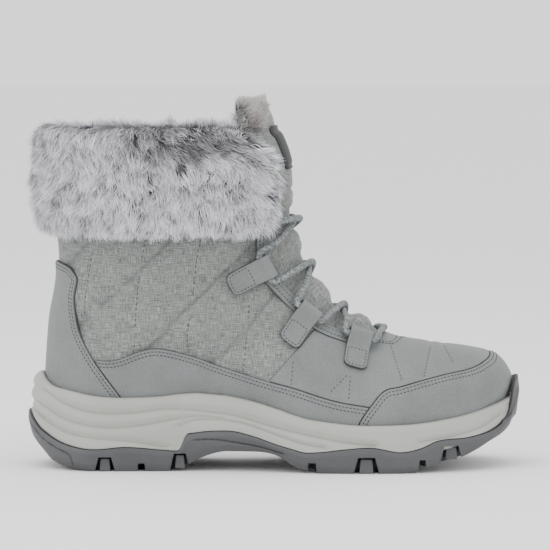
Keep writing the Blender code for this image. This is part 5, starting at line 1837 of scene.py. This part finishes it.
def pile_finish(name, root, middle, tip):
    """Pile: dark at the root and pale at the tip, each hair and each lock a little different."""
    finish = new_finish(name, middle, 0.7, 0.6)
    along = stored(finish, "along")
    tone = stored(finish, "tone")
    fibre = noise(finish, place_on(finish, (1, 1, 1)), 900, 2)
    place_at = reckon(finish, "ADD", along, reckon(finish, "MULTIPLY", tone, 0.28))
    tint = ramp(finish, place_at, (0.10, root), (0.52, middle), (0.92, tip))
    tint = blend(finish, "MULTIPLY", 0.35, tint, ramp(finish, fibre, (0.3, 0.62), (0.7, 1.0)))
    finish.node_tree.nodes["Principled BSDF"].inputs["Specular IOR Level"].default_value = 0.25
    return paint(finish, tint, emboss(finish, fibre, 0.3, 0.0002))


class Pile:
    """A sheet of backing that carries hairs: its points, normals and the way down the pile."""

    def __init__(self, grid, outward):
        self.grid = grid
        along, down = np.gradient(grid, axis=0), np.gradient(grid, axis=1)
        self.normal = unit(np.cross(along, down)) * outward
        self.down = unit(down)
        corner = grid[:-1, :-1]
        sizes = np.linalg.norm(np.cross(grid[1:, :-1] - corner, grid[:-1, 1:] - corner), axis=2)
        self.cells = (sizes / sizes.sum()).ravel()

    def pick(self, count, seed):
        """Places on the sheet spread evenly over its area, as row and column numbers."""
        dice = np.random.default_rng(seed)
        cell = dice.choice(len(self.cells), count, p=self.cells)
        row, column = np.divmod(cell, self.grid.shape[1] - 1)
        return row + dice.random(count), column + dice.random(count)

    def read(self, values, row, column):
        row = np.clip(row, 0, self.grid.shape[0] - 1.001)
        column = np.clip(column, 0, self.grid.shape[1] - 1.001)
        i, j = row.astype(int), column.astype(int)
        u, v = (row - i)[:, None], (column - j)[:, None]
        low = values[i, j] * (1 - u) + values[i + 1, j] * u
        high = values[i, j + 1] * (1 - u) + values[i + 1, j + 1] * u
        return low * (1 - v) + high * v


def hairs(pile, locks, each, length, spread, lay, seed, sweep=None, tone_at=None, flatten=None,
          stretch=None, width=HAIR_WIDTH, segments=2):
    """Hairs as tapered blades that bend from the backing's normal to the way they lie, gathered in locks."""
    dice = np.random.default_rng(seed)
    row, column = pile.pick(locks, seed)
    count = locks * each
    lock = np.repeat(np.arange(locks), each)
    step_row = np.linalg.norm(np.diff(pile.grid, axis=0), axis=2).mean()
    step_column = np.linalg.norm(np.diff(pile.grid, axis=1), axis=2).mean()
    scatter_row, scatter_column = dice.normal(0, spread, (2, count))
    hair_row = row[lock] + scatter_row / step_row
    hair_column = column[lock] + scatter_column / step_column
    inside_sheet = (hair_row >= 0) & (hair_row <= pile.grid.shape[0] - 1.01)
    inside_sheet &= (hair_column >= 0) & (hair_column <= pile.grid.shape[1] - 1.01)
    lock, hair_row, hair_column = lock[inside_sheet], hair_row[inside_sheet], hair_column[inside_sheet]
    count = len(lock)

    def lay_of(row, column, rise, swing):
        normal = unit(pile.read(pile.normal, row, column))
        down = unit(pile.read(pile.down, row, column))
        side = np.cross(normal, down)
        flat = down * np.cos(swing)[:, None] + side * np.sin(swing)[:, None]
        if sweep is not None:
            flat = unit(flat + sweep(row, column))
        return normal, flat, unit(normal * rise[:, None] + flat * (1 - rise[:, None]))

    where = pile.read(pile.grid, row, column)
    swirl = 0.34 * np.sin(where[:, 0] * 95 + 1.7 * np.sin(where[:, 2] * 130))
    swirl += 0.24 * np.sin(where[:, 1] * 120 + where[:, 2] * 85)
    lay = lay if flatten is None else lay * flatten(row, column)
    lock_rise = np.clip(lay + dice.normal(0, 0.13, locks), 0.05, 0.9)
    lock_swing = swirl + dice.normal(0, 0.32, locks)
    lock_length = length * dice.uniform(0.72, 1.12, locks)
    lock_length = lock_length if stretch is None else lock_length * stretch(row, column)
    _, _, lock_way = lay_of(row, column, lock_rise, lock_swing)
    lock_tip = where + lock_way * lock_length[:, None]
    lock_tone = dice.normal(0, 0.42, locks)
    if tone_at is not None:
        lock_tone += tone_at(row, column)
    root = pile.read(pile.grid, hair_row, hair_column)
    rise = np.clip(lock_rise[lock] + dice.normal(0, 0.12, count), 0.05, 0.95)
    normal, flat, way = lay_of(hair_row, hair_column, rise, lock_swing[lock] + dice.normal(0, 0.22, count))
    own_length = lock_length[lock] * dice.uniform(0.62, 1.06, count)
    own_tip = root + way * own_length[:, None]
    gather = dice.uniform(0.30, 0.75, count)[:, None]
    tip = own_tip * (1 - gather) + (lock_tip[lock] + dice.normal(0, 0.0006, (count, 3))) * gather
    knee = root + normal * (0.42 * own_length)[:, None] + flat * (0.10 * own_length)[:, None]
    shares = np.linspace(0, 1, segments + 1)[None, :, None]
    line = (1 - shares) ** 2 * root[:, None] + 2 * shares * (1 - shares) * knee[:, None]
    line = line + shares**2 * tip[:, None]
    aside = unit(np.cross(tip - root, normal))
    half = (width / 2) * dice.uniform(0.75, 1.25, count)[:, None, None] * (1 - 0.55 * shares[:, :-1] ** 2)
    left = line[:, :-1] + aside[:, None] * half
    right = line[:, :-1] - aside[:, None] * half
    points = np.concatenate([np.stack([left, right], 2).reshape(count, -1, 3), line[:, -1:]], 1)
    per = 2 * segments + 1
    blade = [(2 * k, 2 * k + 1, 2 * k + 3, 2 * k + 2) for k in range(segments - 1)]
    first = (np.arange(count) * per)[:, None]
    faces = [tuple(face) for corners in blade for face in (first + np.array(corners)).tolist()]
    faces += [tuple(face) for face in (first + np.array((per - 3, per - 2, per - 1))).tolist()]
    along = np.concatenate([np.repeat(shares[0, :-1, 0], 2), [1.0]])
    tone = lock_tone[lock] + dice.normal(0, 0.35, count)
    values = {"along": np.tile(along, count), "tone": np.repeat(tone, per)}
    return points.reshape(-1, 3), faces, values


FUR = pile_finish("cuff_fur", (0.030, 0.029, 0.033), (0.34, 0.335, 0.36), (0.92, 0.92, 0.98))


def cuff_pieces():
    grid, back = backing_grid()
    heel, outside = grid.shape[0] // 2, BACKING_STEPS * 3 // 4
    test = np.cross(np.gradient(grid, axis=0), np.gradient(grid, axis=1))[heel, outside]
    outward = 1 if test[0] < 0 else -1
    whole = np.concatenate([grid, back], axis=1)
    rows, columns, _ = whole.shape
    faces = quads(rows, columns, wrap=True)
    faces += [tuple(range(columns)), tuple(range(rows * columns - 1, (rows - 1) * columns - 1, -1))]
    flat = np.zeros(rows * columns)
    body = add_mesh("cuff_backing", whole.reshape(-1, 3), faces, FUR, {"along": flat + 0.26, "tone": flat})
    fit(face_out(body), "fur", "fur_cuff")

    def sweep(row, column):
        """Near the front edges the hairs turn forward, and near the lower edge straight down."""
        ends = np.maximum(np.minimum(row, rows - 1 - row) - END_STEPS, 0) / CUFF_STEPS
        down = column / BACKING_STEPS
        forward = (1 - smoothstep(0.0, 0.055, ends)) * (0.25 + 0.85 * smoothstep(0.35, 0.65, down))
        hang = smoothstep(0.72, 0.95, down) * 0.9
        return np.stack([forward, forward * 0, -0.25 * forward - hang], 1)

    def tone_at(row, column):
        """The pile parts below the fold, more so towards the front; the hairs there are darkened, painted
        shade in the parting.
        """
        down, round_cuff = column / BACKING_STEPS, np.abs(row / (rows - 1) - 0.5) * 2
        parting_shade = hump((down - 0.47) / 0.09) * smoothstep(0.25, 0.6, round_cuff)
        return 0.15 - 1.9 * parting_shade * (1 - smoothstep(0.88, 0.97, round_cuff))

    def flatten(row, column):
        """Over the fold at the back the hairs lie flatter, so that the cuff's top falls off to the heel."""
        heel_side = 1 - smoothstep(0.1, 0.75, np.abs(row / (rows - 1) - 0.5) * 2)
        fold_top = hump((column / BACKING_STEPS - 0.34) / 0.12)
        return 1 - 0.75 * fold_top * (0.45 + 0.55 * heel_side)

    pile = Pile(grid, outward)
    for number, seed in enumerate((3, 5, 8)):
        points, faces, values = hairs(pile, 1200, 29, 0.0104, 0.0023, 0.40, seed, sweep, tone_at, flatten)
        fit(add_mesh(f"cuff_hair_{number + 1}", points, faces, FUR, values), "fur")


cuff_pieces()

# Tongue lining. A shorter, browner pile sewn inside the head of the tongue, which shows above
# the cuff as a soft rounded head.

LINING_DEPTH = 0.010
LINING_GAP = 0.0020
LINING_ENDS = (18.2, 21.8)
LINING_ROWS = 60
TONGUE_HEAD = 21.95
LINING_PILE = pile_finish("tongue_pile", (0.100, 0.090, 0.087), (0.37, 0.345, 0.335), (0.68, 0.645, 0.635))


def lining_low(t):
    return phi_of_share(t, 0.955)


def inside_tongue(t, share):
    """The tongue's inner face, from the lining's edge to the middle."""
    low = tongue_low(t)
    return tongue_out(t, low + (0.5 + 0.5 * share) * (1 - low)) - TONGUE_THICKNESS - LINING_GAP


def over_middle(t, phi, out):
    """A sheet's points from one edge of the tongue over its middle to the other."""
    halves, spot = [], (t.ravel(), phi.ravel())
    for side in (-1, 1):
        points = last_point(*spot, side) + out.ravel()[:, None] * last_normal(*spot, side)
        halves.append(points.reshape(t.shape + (3,)))
    return np.concatenate([halves[0], halves[1][::-1][1:]])


def lining_body():
    spots, faces = last_grid(np.linspace(*LINING_ENDS, 40), lining_low, np.ones_like, np.linspace(0, 1, 22))
    t, low = spots[:, 0], lining_low(spots[:, 0])
    share = (spots[:, 1] - low) / (1 - low)
    seat = inside_tongue(t, share)
    edge = np.minimum(share * 3, 1) * np.minimum((LINING_ENDS[1] - t) / 0.9 + 0.12, 1)
    depth = LINING_DEPTH * (0.25 + 0.35 * np.sqrt(np.clip(edge, 0, 1)))
    points, faces, _ = closed_shell(spots, faces, seat, seat - depth)
    flat = np.zeros(len(points))
    obj = add_mesh("tongue_lining", points, faces, LINING_PILE, {"along": flat, "tone": flat})
    fit(obj, "lining", "tongue_fur")


def lining_hairs():
    sections = np.linspace(LINING_ENDS[1], LINING_ENDS[0] + 0.2, LINING_ROWS)
    share, t = np.meshgrid(np.linspace(0, 1, 26), sections, indexing="ij")
    low = lining_low(t.ravel()).reshape(t.shape)
    seat = inside_tongue(t.ravel(), share.ravel()).reshape(t.shape)
    grid = over_middle(t, low + share * (1 - low), seat - 0.45 * LINING_DEPTH)
    inward = np.cross(np.gradient(grid, axis=0), np.gradient(grid, axis=1))[25, 30]
    pile = Pile(grid, 1 if inward[0] < 0 else -1)

    def rise_over(row, column):
        """At the head the pile stands up and curls forward over the cloth's edge."""
        head = 1 - smoothstep(0.0, 0.22, column / (LINING_ROWS - 1))
        return np.stack([0.25 * head, 0 * head, 2.6 * head], 1)

    def longer_head(row, column):
        return 1 + 0.7 * (1 - smoothstep(0.0, 0.25, column / (LINING_ROWS - 1)))

    points, faces, values = hairs(pile, 600, 26, 0.0085, 0.0016, 0.55, 11, rise_over, stretch=longer_head)
    fit(add_mesh("tongue_pile", points, faces, LINING_PILE, values), "lining")


def rim_hairs():
    share, wide = np.meshgrid(np.linspace(0, 1, 36), np.linspace(0, 1, 12), indexing="ij")
    low = tongue_low(np.array([TONGUE_HEAD]))[0]
    phi = low + share * (1 - low)
    wrap = 2.0 * smoothstep(0.35, 0.8, 1 - share)
    outside = tongue_out(np.full(phi.size, TONGUE_HEAD), phi.ravel()).reshape(phi.shape)
    t = TONGUE_HEAD - wrap * np.maximum(2 * wide - 1, 0)
    grid = over_middle(t, phi, outside - TONGUE_THICKNESS * (1 - np.minimum(2 * wide, 1)))
    upward = np.cross(np.gradient(grid, axis=0), np.gradient(grid, axis=1))[35, 2]

    def curl(row, column):
        """The rim's pile leans back over the cloth's cut edge."""
        level = np.ones(len(row))
        return np.stack([-0.6 * level, 0 * level, 0.9 * level], 1)

    pile = Pile(grid, 1 if upward[2] > 0 else -1)
    points, faces, values = hairs(pile, 620, 22, 0.0082, 0.0014, 0.70, 17, curl)
    fit(add_mesh("tongue_rim_pile", points, faces, LINING_PILE, values), "lining")


lining_body()
lining_hairs()
rim_hairs()

# Studio. A plain pale floor, soft light from above and both sides, and a long lens at the height
# of the boot, square to its outer side.

VIEW_HEIGHT = 0.1079
VIEW_X = 0.0011
VIEW_WIDTH = 0.313
VIEW_DISTANCE = 2.0
VIEW_RISE = math.radians(3.5)
FLOOR_REACH = 30.0
SENSOR_WIDTH = 36
LIGHTS_AIM = 0.08


def studio_floor():
    finish = new_finish("studio_floor", (0.93, 0.93, 0.93), 0.9)
    mesh = bpy.data.meshes.new("studio_floor")
    reach = FLOOR_REACH
    corners = [(-reach, -reach, 0), (reach, -reach, 0), (reach, reach, 0), (-reach, reach, 0)]
    mesh.from_pydata(corners, [], [(0, 1, 2, 3)])
    mesh.materials.append(finish)
    new_object("studio_floor", mesh)


def aim(obj, place_at, way):
    """Stands a lamp or the camera at a place and turns it to look along a way."""
    obj.location = place_at
    obj.rotation_mode = "QUATERNION"
    obj.rotation_quaternion = way.to_track_quat("-Z", "Y")


def soft_light(name, place_at, size, power):
    light = bpy.data.lights.new(name, "AREA")
    light.shape = "DISK"
    light.size = size
    light.energy = power
    aim(new_object(name, light), Vector(place_at), Vector((0, 0, LIGHTS_AIM)) - Vector(place_at))


def studio_camera():
    lens = bpy.data.cameras.new("camera")
    lens.sensor_width = SENSOR_WIDTH
    lens.lens = SENSOR_WIDTH * VIEW_DISTANCE / VIEW_WIDTH
    lens.clip_start = 0.05
    camera = new_object("camera", lens)
    back = Vector((0, -math.cos(VIEW_RISE), math.sin(VIEW_RISE)))
    aim(camera, Vector((VIEW_X, 0, VIEW_HEIGHT)) + VIEW_DISTANCE * back, -back)
    bpy.context.scene.camera = camera


studio_floor()
studio_camera()
soft_light("top_light", (-0.25, -0.35, 1.5), 1.6, 13)
soft_light("left_light", (-1.5, -1.3, 0.7), 1.4, 7)
soft_light("right_light", (1.5, -1.1, 0.6), 1.2, 4)
world = bpy.data.worlds.new("studio")
world.use_nodes = True
sky = world.node_tree.nodes["Background"]
sky.inputs["Color"].default_value = (1, 1, 1, 1)
sky.inputs["Strength"].default_value = 1.5
bpy.context.scene.world = world
